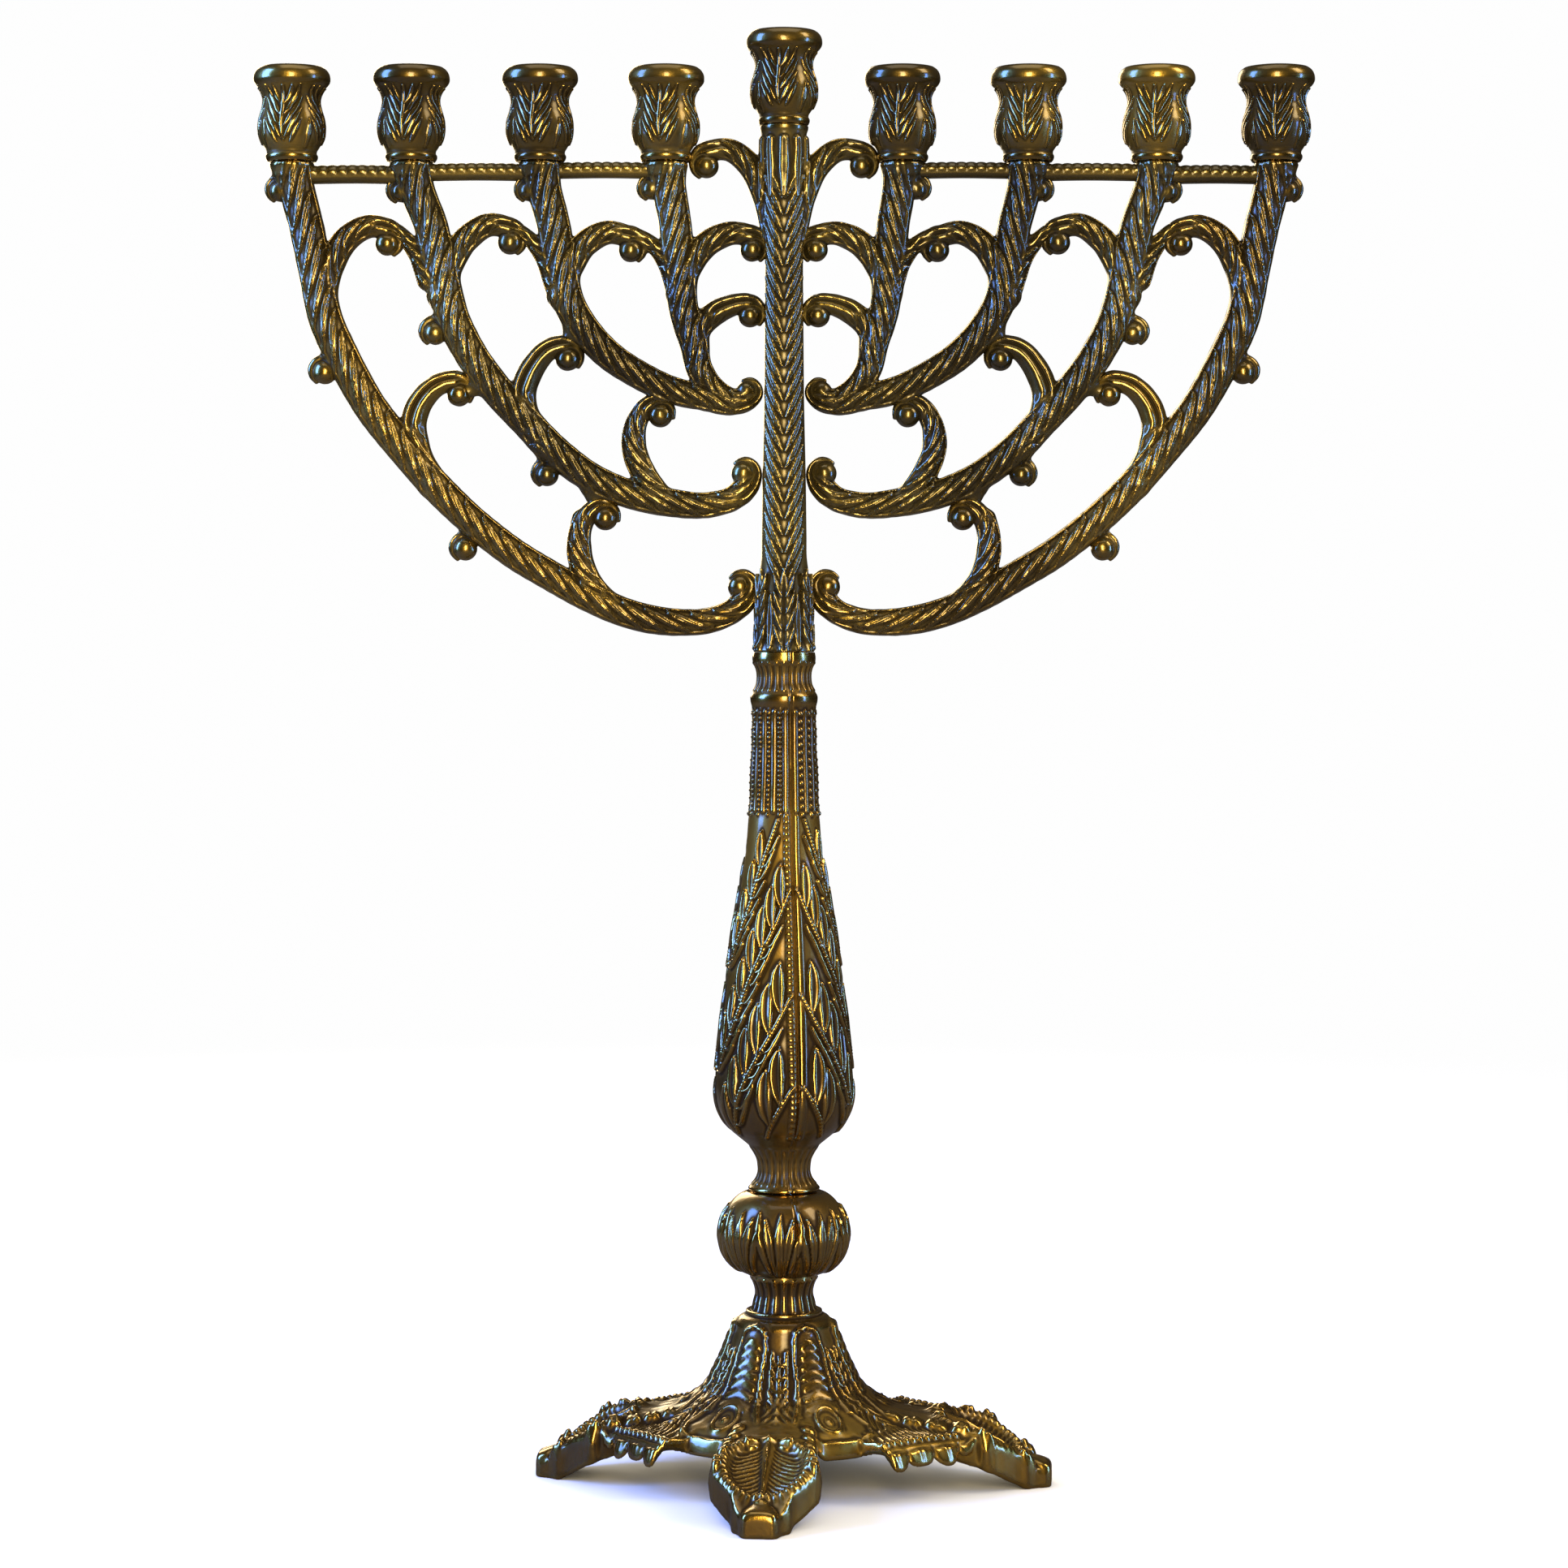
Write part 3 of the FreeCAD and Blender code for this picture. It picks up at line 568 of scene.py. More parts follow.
MIDDLE = {
    "cup": 2,
    "pitch": 5.6,
    "path": [(10, 260.6), (13, 257.5), (20, 255.5), (30, 256.1), (40, 258.2), (50, 262.4),
             (57.9, 268), (66.8, 276.6), (75, 285.5), (81.4, 294.2), (86, 303), (89.4, 315.4),
             (92.6, 328.6), (95.8, 337)],
    "radius": [2.9, 3.7, 3.9, 4.1, 4.3, 4.4, 4.45, 4.6],
    "outward": 0.3,
    "curls": [
        ([(90.2, 310), (87.2, 318.5), (82.6, 325.4), (77, 328.6), (72.2, 327.9)],
         (71.8, 324), 3.2, 3.5, 2.8, 150),
        ([(62, 269.8), (66.9, 276.8), (68.3, 284.6), (65.8, 291.2), (61.5, 296), (57.6, 297.1)],
         (56.7, 293.5), 3.2, 3.5, 2.7, 140),
        ([(32.2, 256.6), (36.9, 263.6), (39.4, 270.6), (38.6, 276.9), (35.6, 281.4)],
         (32.4, 278.7), 3.2, 3.4, 2.4, 150),
        ([(20, 255), (13, 256.8), (8.6, 260.2), (7.4, 263.8)],
         (10.6, 263.4), 3.2, 2.8, 1.6, 120),
        ([(81.4, 293.4), (86.4, 298.4), (88.8, 302.4), (90.8, 303.9)],
         (91.4, 300.2), 3.1, 2, 1.2, 150),
        ([(48.6, 260.6), (54.8, 263.8), (58.6, 266), (61.6, 266.7)],
         (62.1, 263.1), 3, 2.4, 1.2, 150),
        ([(94.2, 329), (97.2, 335), (98.2, 339.2), (100.2, 340.6)],
         (100.3, 337.3), 2.8, 2.2, 1.2, 150),
    ],
    "leaves": [([(93.4, 314), (96.4, 321.2), (100.4, 326.2), (104.4, 328.8)], 2.8, 1.7)],
    "webs": [((85.2, 284), (79, 287), 2.2), ((46.8, 251.6), (51, 259), 2)],
}
INNER = {
    "cup": 1,
    "pitch": 5.4,
    "path": [(10.5, 283.2), (14, 282), (20, 283.2), (30, 285.6), (38, 289.4), (45.5, 294.3),
             (51.5, 300.4), (56, 307.6), (58.3, 316), (60.4, 328.6), (62.6, 337)],
    "radius": [2.9, 3.6, 3.8, 4.1, 4.3, 4.45, 4.6],
    "outward": 0.1,
    "fork": [(13, 282.6), (18, 285.4), (21.8, 290), (23.6, 297), (26.2, 306), (27.3, 316),
             (28.6, 329), (29.9, 337)],
    "fork_radius": [2.6, 3.5, 3.8, 4.1, 4.3, 4.4, 4.5],
    "curls": [
        ([(58.8, 310), (56, 317.4), (51.6, 324), (46, 326.6), (40.8, 325.7)],
         (40.2, 321.9), 3.1, 3.5, 2.8, 150),
        ([(27.4, 311), (24.6, 318), (19.6, 324), (13.6, 326.4), (8.8, 325.9)],
         (8.3, 322.1), 3.2, 3.5, 2.8, 150),
        ([(23, 296.4), (22.4, 300.8), (18.4, 305.2), (13.6, 307.5), (9.4, 308.2)],
         (8.9, 304.8), 3.1, 3.3, 2.5, 140),
        ([(20, 282.4), (13.4, 281.2), (8.8, 282.2), (6.8, 284.6)],
         (9.8, 284.8), 2.8, 2.4, 1.4, 110),
        ([(61.2, 329), (63.8, 334.6), (64.6, 339), (66.6, 340.8)],
         (66.8, 337.6), 2.8, 2.2, 1.2, 150),
        ([(29, 329.4), (31.5, 335), (32.3, 339.4), (34.4, 341.2)],
         (34.6, 338), 2.8, 2.2, 1.2, 150),
    ],
    "leaves": [([(60.2, 313), (63.2, 320.4), (67.4, 325.6), (71.6, 328.4)], 2.8, 1.7),
               ([(28.2, 312), (31.4, 319.4), (35.4, 324.2), (39.8, 326.4)], 2.8, 1.7)],
    "webs": [((56.8, 293.8), (55.6, 301), 2.2), ((32.4, 278.8), (33.2, 284.6), 2)],
}


def add_arm_bar(clay, points, radii, cup_x, pitch, outward):
    """The leafy bar of an arm, ending upright in a collar under its cup."""
    path, along = curve_through(points + [(cup_x - 0.4, ARM_TOP - 3.0), (cup_x, ARM_TOP + 1.0)])
    run = np.gradient(path, axis=0)
    run /= np.linalg.norm(run, axis=1)[:, None]
    push = outward * step_up(2.0, 12.0, along) * step_up(along[-1] - 12.0, along[-1] - 40.0, along)
    path = path + np.stack([run[:, 1], -run[:, 0]], 1) * push[:, None]
    radius = np.interp(along / along[-1], np.linspace(0, 1, len(radii)), radii)
    radius = radius + 0.5 * step_up(along[-1] - 9.0, along[-1] - 3.5, along)
    clay.add_bar(path, along, radius, laurel(pitch), 0.8)
    slices, x, y, z = clay.window((cup_x - 8, -8, ARM_TOP - 6), (cup_x + 8, 8, ARM_TOP + 1))
    collar = np.hypot(x - cup_x, y) - 5.7 + 0.5 * np.abs(z - ARM_TOP + 0.9)
    clay.add(slices, np.maximum(collar, ARM_TOP - 3.2 - z), 1.5)


def make_arm(name, arm, material):
    """The right-hand casting of one arm."""
    points = np.array(arm["path"] + [ball for _, ball, *_ in arm["curls"]])
    low, high = points.min(0) - 6.0, points.max(0) + 7.0
    clay = Clay((3.0, -6.0, low[1]), (high[0] + 2.0, 6.0, ARM_TOP + 0.3), ARM_CELL)
    add_arm_bar(clay, arm["path"], arm["radius"], CUP_X[arm["cup"]], arm["pitch"], arm["outward"])
    if "fork" in arm:
        add_arm_bar(clay, arm["fork"], arm["fork_radius"], CUP_X[0], arm["pitch"], 0.0)
    for points, ball, ball_radius, root, tip, wrap in arm["curls"]:
        add_scroll(clay, points, ball, ball_radius, root, tip, wrap, root > 2.0)
    for points, root, tip in arm.get("leaves", []):
        path, along = curve_through(points, WRAP_STEP)
        radius = np.interp(along / along[-1], [0, 1], [root, tip])
        clay.add_bar(path, along, radius, scroll_relief(along[-1], 0.7), 0.9, side=-1.0)
    for first, second, radius in arm["webs"]:
        add_web(clay, first, second, radius)
    grain = wave_noise(clay.window()[1:], 2.6, 3) * 0.045
    clay.field += grain.astype(np.float32)
    clay.keep(0.0, ARM_TOP - 0.02)
    return clay.mesh(name, material)


def make_arms():
    arms = (("outer", OUTER, ARM_GOLD), ("middle", MIDDLE, OLIVE), ("inner", INNER, OLIVE))
    for place, arm, material in arms:
        stand_on_both_sides(make_arm(f"{place}_arm_right", arm, material), f"arm_right_{place}")


# ---- turned pieces

def resample(points, spacing):
    """Points along straight runs between the given points, closer together than the spacing."""
    points = np.array(points, float)
    rows = []
    for first, second in zip(points[:-1], points[1:]):
        count = max(int(round(np.hypot(*(second - first)) / spacing)), 1)
        rows += [first + (second - first) * k / count for k in range(count)]
    rows.append(points[-1])
    return np.array(rows)


def smooth_profile(points, spacing):
    return curve_through(points, spacing)[0]


class Sheet:
    """Relief heights over the outside of a turned piece, one for every profile point and angle."""

    def __init__(self, profile, angles):
        self.profile = np.array(profile, float)
        self.angles = np.array(angles, float)
        self.radius = self.profile[:, 0][:, None]
        self.level = self.profile[:, 1][:, None]
        self.height = np.zeros((len(self.profile), len(self.angles)))

    def across(self, centre):
        """Distance round the surface from a bearing."""
        return ((self.angles[None, :] - centre + math.pi) % (2 * math.pi) - math.pi) * self.radius

    def leaf(self, centre, points, widths, height, vein=0.0, notch=0.0, pitch=1.0, spacing=0.8, hollow=0.22):
        """Raises a leaf or a cord along points (distance across, level), with half widths along it."""
        path, along = curve_through(points, spacing)
        half = np.interp(along / along[-1], np.linspace(0, 1, len(widths)), widths)
        room = half.max() + 0.3
        low, high = path.min(0) - room, path.max(0) + room
        across = self.across(centre)
        rows = np.flatnonzero((self.level[:, 0] > low[1]) & (self.level[:, 0] < high[1]))
        columns = np.flatnonzero(((across[rows] > low[0]) & (across[rows] < high[0])).any(0))
        if not len(rows) or not len(columns):
            return
        block = np.ix_(rows, columns)
        x = across[block].ravel()[:, None]
        z = np.repeat(self.level[rows, 0], len(columns))[:, None]
        start, run = path[:-1], np.diff(path, axis=0)
        long = np.maximum((run ** 2).sum(1), 1e-9)
        share = np.clip(((x - start[:, 0]) * run[:, 0] + (z - start[:, 1]) * run[:, 1]) / long, 0, 1)
        gap = np.hypot(x - start[:, 0] - share * run[:, 0], z - start[:, 1] - share * run[:, 1])
        width = half[:-1] + share * (half[1:] - half[:-1])
        best = np.argmin(gap / np.maximum(width, 0.02), axis=1)
        pick = np.arange(len(best))
        t = gap[pick, best] / np.maximum(width[pick, best], 0.02)
        s = along[best] + share[pick, best] * (along[best + 1] - along[best])
        lump = 1.0 - notch * (1.0 - ripple(s, pitch))
        value = height * dome(t) * lump - vein * bump(0.0, hollow, t)
        value = np.where(t < 1, np.maximum(value, 0), 0).reshape(len(rows), len(columns))
        self.height[block] = np.maximum(self.height[block], value)

    def rib(self, centre, levels, widths, height, **shape):
        """An upright leaf or cord through the given levels."""
        self.leaf(centre, [(0.0, level) for level in levels], widths, height, **shape)

    def leaves(self, centre, points, widths, height, shift=0.0, sides=(-1, 1), **shape):
        """The same leaf on both sides of a bearing, or on one of them."""
        for side in sides:
            moved = [(side * across + shift, level) for across, level in points]
            self.leaf(centre, moved, widths, height, **shape)

    def spot(self, degrees, level):
        """The place (distance across, level) that stands this far round from a leaf's bearing."""
        return math.radians(degrees) * float(np.interp(level, self.profile[:, 1], self.profile[:, 0])), level

    def sample(self, angle, level):
        """Heights at the nearest points of the sheet, for levels that rise along the profile."""
        column = np.round((angle - self.angles[0]) / (self.angles[1] - self.angles[0])).astype(np.int32)
        column %= len(self.angles)
        row = np.clip(np.searchsorted(self.profile[:, 1], level), 0, len(self.profile) - 1)
        return self.height[row, column]


def loop_faces(rows, columns, closed):
    """Quads of a skin whose rows join end to end, and whose columns do too when closed."""
    i = np.arange(rows)[:, None]
    j = np.arange(columns if closed else columns - 1)[None, :]
    after_i, after_j = (i + 1) % rows, (j + 1) % columns
    corners = (i * columns + j, i * columns + after_j, after_i * columns + after_j, after_i * columns + j)
    return np.stack(corners, -1).reshape(-1, 4)


def turned_piece(name, sheet, inner, material, closed, seam_depth=0.0):
    """A turned casting: the sheet's raised outside joined to a plain inside, all round or for half a turn."""
    angle = sheet.angles[None, :]
    reach = sheet.radius + sheet.height
    if seam_depth:
        edge = np.minimum(angle - sheet.angles[0], sheet.angles[-1] - angle) * sheet.radius
        reach = reach - seam_depth * np.exp(-(edge / 0.45) ** 2)
    outer = np.stack([reach * np.cos(angle), reach * np.sin(angle), sheet.level + 0 * angle], -1)
    inner = np.array(inner)
    radius, level = inner[:, 0][:, None], inner[:, 1][:, None]
    core = np.stack([radius * np.cos(angle), radius * np.sin(angle), level + 0 * angle], -1)
    points = np.concatenate([outer, core]).reshape(-1, 3)
    rows, columns = len(outer) + len(core), len(sheet.angles)
    faces = loop_faces(rows, columns, closed)
    caps = []
    if not closed:
        ring = np.arange(rows) * columns
        caps = [ring, (ring + columns - 1)[::-1]]
    return make_mesh(name, points, faces, material, caps=caps)


def bearings(count, first):
    """Equally spaced bearings round the stem."""
    return [first + number * 2 * math.pi / count for number in range(count)]


HALF_TURN = np.linspace(0, math.pi, 190)
WHOLE_TURN = np.linspace(0, 2 * math.pi, 320, endpoint=False) - math.pi
FRONT = -math.pi / 2
SEAM = math.radians(-78)


# ---- candle cups

CUP = [(6.3, 0.1), (6.7, 0.7), (6.85, 1.5), (6.5, 2.3), (6.6, 2.9), (7.1, 3.7), (7.7, 4.9), (8.3, 6.6),
       (8.5, 8.4), (8.4, 10.4), (8, 12.2), (7.5, 13.8), (7.2, 15.3), (7.25, 16.7), (7.7, 18), (8.6, 19.3),
       (9.5, 20.2), (10, 21.1), (10.05, 22.2), (9.8, 23.2), (9.2, 24.1), (8.4, 24.7)]
CUP_LIP = [(7.8, 24.8), (7.1, 24.5), (6.2, 23.7), (5.7, 23), (5.5, 22.2)]
CUP_BORE = [(5.5, 21), (5.5, 9.1), (5.2, 9), (1.2, 9), (0.9, 6), (2.05, 5.9), (2.05, 0.05), (5.9, 0.05)]


def cup_sheet():
    """Four fans of feathered leaves round a cup, with a plain blade between each two."""
    sheet = Sheet(smooth_profile(CUP, 0.2), np.linspace(0, 2 * math.pi, 250, endpoint=False))
    for centre in bearings(4, FRONT - 0.12):
        sheet.leaf(centre, [(-0.4, 5.0), (-0.7, 9.0), (-0.5, 14.0), (-0.3, 19.0)], [0.3, 0.5, 0.5, 0.35], 0.6)
        for low in (4.4, 7.4, 10.4, 13.4):
            for start, foot, reach, rise in ((1.8, 0.0, 4.2, 6.2), (0.5, 1.2, 3.0, 6.0)):
                fan = [(start, low + foot), (start + 0.35 * reach, low + 0.45 * rise),
                       (start + 0.75 * reach, low + rise)]
                sheet.leaves(centre, fan, [0.15, 0.6, 0.55, 0.1], 0.52, shift=-0.5, vein=0.1)
        blade = [(0.0, 3.4), (0.2, 8.0), (0.3, 11.0)]
        sheet.leaf(centre + math.pi / 4, blade, [0.4, 0.9, 0.1], 0.35, vein=0.15)
    return sheet


def make_cups():
    """One cup, copied to every seat with slightly different dents."""
    inner = np.concatenate([smooth_profile(CUP_LIP, 0.5), resample(CUP_BORE, 2.0)])
    first = turned_piece("candle_cup", cup_sheet(), inner, CUP_GOLD, True)
    base = mesh_points(first.data) / MM
    reach = np.hypot(base[:, 0], base[:, 1])
    names = sorted(node for node in frame["nodes"] if node.startswith("cup_") and node != "cup_studs")
    for number, node in enumerate(names):
        low, high = node_box(node)
        cup = new_object("candle_cup", first.data.copy()) if number else first
        cup.name = f"candle_{node}"
        dents = wave_noise(base.T, 8.0, 20 + number) * 0.06 * (reach > 5.8)
        limit = (high[0] - low[0]) / 2 - 0.01
        scale = np.minimum(reach + dents, limit) / np.maximum(reach, 0.1)
        points = base + ((low[0] + high[0]) / 2, 0.0, low[2])
        points[:, :2] += base[:, :2] * (scale - 1.0)[:, None]
        points[:, 2] = np.clip(points[:, 2], low[2] + 0.02, high[2] - 0.02)
        move_points(cup.data, points * MM)
        cup.data.update()
        stand_for(cup, node)


# ---- stem

BALUSTER = [(8.35, 75.7), (9.4, 76.2), (8.5, 77.5), (7.45, 78.7), (6.8, 80.2), (6.8, 82.6), (7, 83.8),
            (7.6, 85.1), (8.4, 86.4), (9.4, 87.7), (10.8, 88.9), (12.4, 90.2), (14, 91.6), (15.7, 94.1),
            (16.9, 96.6), (17.6, 99.2), (17.8, 101.7), (17.5, 106.8), (17.1, 111.9), (16.5, 117),
            (16, 122.1), (15.2, 127.3), (14.75, 132.4), (14.15, 136.2), (13.5, 141.3), (12.7, 146.4),
            (12, 150.2), (11.45, 154.1), (10.8, 159.2), (10.4, 161.7), (10, 164.3), (9.6, 169.4),
            (9.3, 173.2), (8.7, 177), (8.6, 182.2), (8.4, 187.3), (8.1, 191), (8.1, 196), (7.9, 198.8),
            (8.2, 201.3), (8.5, 202.6), (8.8, 203.9), (8.8, 205.1), (8.1, 206.4), (7.2, 208), (6.9, 210.2),
            (7, 211.5), (7.4, 212.8), (8.2, 214.1), (8.3, 215.3), (8.1, 216.56)]


BALUSTER_INSIDE = [(5.5, 216.54), (3.6, 216), (3.6, 206), (5.6, 196), (6.6, 170), (9, 150), (12.8, 122),
                   (14.6, 102), (12, 95), (3.8, 88), (3.6, 76), (5.5, 75.7)]
# Rise of a feather's quill above its root, by degrees away from the seam.
QUILL = [(5, 16), (22, 7), (36, 0), (50, -8), (60, -16), (83, -31)]


def draw_feathers(sheet, seam, root):
    """A feather on each side of a seam: a corded quill, pointed leaflets above it, curved barbs below it."""
    size = float(np.interp(root, [88, 166], [1, 0.62]))
    spot = sheet.spot
    quill = [(turn, root + float(table_of(QUILL, turn))) for turn in range(4, 86, 3)]
    quill = [spot(turn, level) for turn, level in quill if 90.5 < level < 173.5]
    if len(quill) > 2:
        sheet.leaves(seam, quill, [0.6, 0.8, 0.8, 0.6], 1.0, notch=0.3, pitch=1.0, spacing=1.5)
    for turn in np.arange(78.0, 14.0, -10.5):
        level = root + float(table_of(QUILL, turn))
        rise = 14.0 * size + 1.5
        leaflet = [spot(turn, level + 0.6), spot(turn + 3.0, level + 0.35 * rise),
                   spot(turn + 3.4, level + 0.75 * rise), spot(turn + 1.4, level + rise)]
        if 91.0 < level < 166.0:
            sheet.leaves(seam, leaflet, [0.3, 1.7 * size + 0.1, 2.4 * size, 2.0 * size, 0.3], 1.35,
                         vein=0.9, hollow=0.45)
    for turn in np.arange(86.0, 26.0, -6.0):
        level = root + float(table_of(QUILL, turn))
        barb = [spot(turn - 1.5, level - 0.6), spot(turn - 5.225, level - 0.4),
                spot(turn - 12.35, level + 2.6 * size), spot(turn - 18.05, level + 6.4 * size)]
        if 93.0 < level < 168.0:
            sheet.leaves(seam, barb, [0.35, 0.7 * size, 0.95 * size, 0.8 * size, 0.4], 1.0)


def draw_baluster(sheet):
    """Tall feathers that sweep up to each seam, beaded ribs above them, and fluted necks at both ends."""
    spot = sheet.spot
    for seam in (SEAM, SEAM + math.pi):
        for root in (61.0, 88.5, 112.0, 139.0, 166.0):
            draw_feathers(sheet, seam, root)
        ladder = [spot(5.0, 91.0), spot(5.5, 120.0), spot(6.5, 150.0), spot(8.5, 174.0)]
        sheet.leaves(seam, ladder, [1.0, 1.1, 0.95, 0.8], 0.55, sides=[-1], notch=0.6, pitch=1.6, spacing=3.0)
        sheet.leaves(seam, ladder, [1.1, 1.1, 0.9, 0.7], 0.35, sides=[1], spacing=3.0)
        for turn in (9.0, 30.0, 50.0, 70.0, 88.0):
            rib = [spot(turn, level) for level in (175.5, 188.0, 201.0)]
            sheet.leaves(seam, rib, [0.75, 0.85, 0.8], 0.5, spacing=4.0)
        for turn in (19.5, 40.0, 60.0, 79.0):
            beads = [spot(turn, level) for level in (174.5, 188.0, 201.6)]
            for side, half, pitch in ((1, 0.8, 2.0), (-1, 0.55, 1.25)):
                sheet.leaves(seam, beads, [half, half], 0.65, sides=[side], notch=0.9, pitch=pitch,
                             spacing=4.0)
    for centre in bearings(24, FRONT):
        sheet.rib(centre, (207.0, 210.0, 213.4), [0.6, 0.6], 0.32, spacing=3.0)
        sheet.rib(centre, (78.0, 82.0, 86.6), [0.6, 0.55, 0.75], 0.25, spacing=3.0)


KNOP = [(8.6, 54.1), (11, 54.5), (12.9, 55.8), (14.1, 57), (15.7, 59.6), (16.4, 62.1), (16.7, 64),
        (16.5, 66.4), (16, 68.7), (14.9, 71.1), (13.2, 73.4), (11.4, 74.8), (9.6, 75.5)]
KNOP_INSIDE = [(7, 75.4), (3.6, 75.2), (3.6, 73), (12, 70), (14.4, 63.5), (11, 58), (3.6, 56), (3.6, 54.2),
               (7, 54.1)]


def draw_knop(sheet):
    """Acanthus leaves that stand round the belly: a middle lobe and side lobes that curl outward, below a
    smooth cap."""
    for centre in bearings(9, FRONT - 0.08):
        middle = [(0.0, 55.0), (0.2, 60.0), (0.1, 65.0), (0.3, 71.6)]
        lobe = [(0.9, 55.5), (1.9, 60.0), (2.5, 64.0), (3.6, 70.2)]
        outer = [(2.4, 56.0), (3.7, 59.6), (4.7, 62.6), (5.3, 66.6)]
        blade = [(0.0, 63.6), (0.2, 67.0), (-0.1, 71.8)]
        sheet.leaf(centre, middle, [0.9, 1.2, 1.5, 0.2], 1.1, vein=0.3)
        sheet.leaves(centre, lobe, [0.5, 0.9, 1.4, 0.25], 1.1, vein=0.5, hollow=0.35)
        sheet.leaves(centre, outer, [0.5, 0.9, 1.15, 0.25], 0.85)
        sheet.leaf(centre + math.pi / 9, blade, [0.4, 1.15, 0.3], 0.8)


SPOOL = [(9.6, 43.6), (9.6, 44), (8.6, 44.5), (8.1, 45.5), (7.8, 46.8), (7.3, 49), (7.55, 50.6),
         (8.2, 52.2), (8.8, 53.2), (8.8, 53.9)]
SPOOL_INSIDE = [(6, 53.9), (3.5, 53.8), (3.5, 43.7), (6, 43.6)]


def make_stem():
    halved = (("baluster", smooth_profile(BALUSTER, 0.34), resample(BALUSTER_INSIDE, 3.0), draw_baluster),
              ("knop", smooth_profile(KNOP, 0.3), resample(KNOP_INSIDE, 2.0), draw_knop))
    for side, start in (("right", SEAM), ("left", SEAM + math.pi)):
        for part, outside, inside, draw in halved:
            sheet = Sheet(outside, start + HALF_TURN)
            draw(sheet)
            half = turned_piece(f"{part}_{side}", sheet, inside, GOLD, False, 0.4)
            stand_for(half, f"{part}_{side}_half")
    sheet = Sheet(smooth_profile(SPOOL, 0.3), WHOLE_TURN[::2])
    for centre in bearings(20, FRONT):
        sheet.rib(centre, (44.6, 48.0, 52.4), [0.8, 0.7, 0.9], 0.35, spacing=3.0)
    spool = turned_piece("spool", sheet, resample(SPOOL_INSIDE, 3.0), GOLD, True)
    stand_for(spool, "lower_spool")


SHAFT = [(8, 216.4), (8, 217.4), (7.5, 219.4), (7.2, 222), (7, 228), (6.8, 234), (6.5, 238.5),
         (6.2, 241), (6.1, 247), (5.9, 262), (5.5, 280), (5.3, 300), (5.3, 328), (5.6, 336),
         (5.9, 343), (6.2, 348), (6.1, 351.4), (6.2, 352.6), (6.5, 353.4), (6.6, 354.5)]
SHAFT_CELL = 0.27


def shaft_sheet():
    """Leaves in a V up the shaft, an acanthus socket at its foot and a fan of blades under the cup."""
    sheet = Sheet(smooth_profile(SHAFT, 0.22), WHOLE_TURN)
    for centre in bearings(2, FRONT):
        for low in 234.0 + 4.4 * np.arange(24):
            leaf = [(0.4, low), (2.3, low + 3.6), (5.6, low + 10.4)]
            sheet.leaves(centre, leaf, [0.25, 0.95, 1.05, 0.5], 0.75, vein=0.3)
    for centre in bearings(6, FRONT):
        sheet.rib(centre, (217.5, 226.0, 232.0, 238.5), [1.6, 2.9, 2.2, 0.2], 1.1, vein=0.5)
        for low in 218.0 + 4.4 * np.arange(4):
            sheet.leaves(centre, [(0.5, low), (1.6, low + 2.6), (2.5, low + 6.0)], [0.3, 0.85, 0.15], 1.35)
        sheet.rib(centre + math.pi / 6, (218.0, 225.0, 232.0), [0.8, 1.5, 0.2], 0.7, vein=0.3)
    for centre in bearings(10, FRONT):
        sheet.rib(centre, (336.0, 343.0, 350.6), [0.7, 1.5, 1.3], 0.95, vein=0.3)
    return sheet


TOP_CURL = [(2.6, 326), (5.4, 337), (9.2, 344.4), (14.4, 348.2), (20, 347.9)]
# The two ends of the shaft: on the neck of the baluster, and under the middle cup.
SHAFT_FOOT = 216.63
SHAFT_TOP = 354.45


def make_shaft():
    sheet = shaft_sheet()
    clay = Clay((-26.0, -10.0, 215.5), (26.0, 10.0, 355.2), SHAFT_CELL)
    slices, x, y, z = clay.window((-10.0, -10.0, 215.5), (10.0, 10.0, 355.2))
    radius = np.interp(z[0, 0], sheet.profile[:, 1], sheet.profile[:, 0])[None, None, :]
    angle = np.arctan2(y, x)
    lift = sheet.sample(angle + 0 * z, z + 0 * angle)
    clay.add(slices, (np.hypot(x, y) + 0 * z - radius - lift + 0.18).astype(np.float32), 0.01)
    for side in (1, -1):
        curl = [(side * across, level) for across, level in TOP_CURL]
        add_scroll(clay, curl, (side * 20.3, 344.0), 3.2, 3.4, 2.7)
    clay.keep(0.0, SHAFT_TOP)
    clay.keep(SHAFT_FOOT, 999.0, 0.02)
    clay.drill(3.05, 0.0, 237.0)
    clay.drill(2.05, 348.5, 999.0)
    stand_for(clay.mesh("leafy_shaft", OLIVE), "central_shaft")


# ---- base

BASE_TURN = math.radians(-95.3)
BASE_CELL = 0.4
# Outside of the bell as (radius, height), and of the skirt that spreads from its foot.
BELL = [(27, 19.7), (25, 21), (22.9, 22.6), (21.4, 23.8), (19.3, 26.4), (18.1, 28.9), (16.2, 32.8),
        (14.7, 36.6), (13.7, 39.2), (12.7, 41.7), (11.5, 43), (10.4, 43.45)]
SKIRT = BELL[:2:-1] + [(22.9, 22.4), (25, 20.8), (28, 19), (32, 17), (36, 16), (40, 15.6), (46, 15),
                       (60, 13.5)]
BELL_WALL = 2.5
BELL_REPEATS = 6
BELL_TURN = math.radians(-94.5)
# How far the skirt's lobes fall, by the distance from the axis measured square to their long edge.
LOBE_FALL = [(41.4, 0), (42.8, 1.5), (44.6, 4.2), (46.6, 7.2), (49, 9.4)]
# Edge of a lobe: distance square to its long edge, by place along it from its front end.
LOBE_EDGE = [(-5, 30), (-3.2, 36), (-1.8, 41.2), (-0.4, 43), (5, 43.4), (15, 43.2), (30, 42.4)]
CROCKET_PITCH = 7.6
# How far the two side feet stand further to the right than in a true cross.
SIDE_SKEW = 2.4
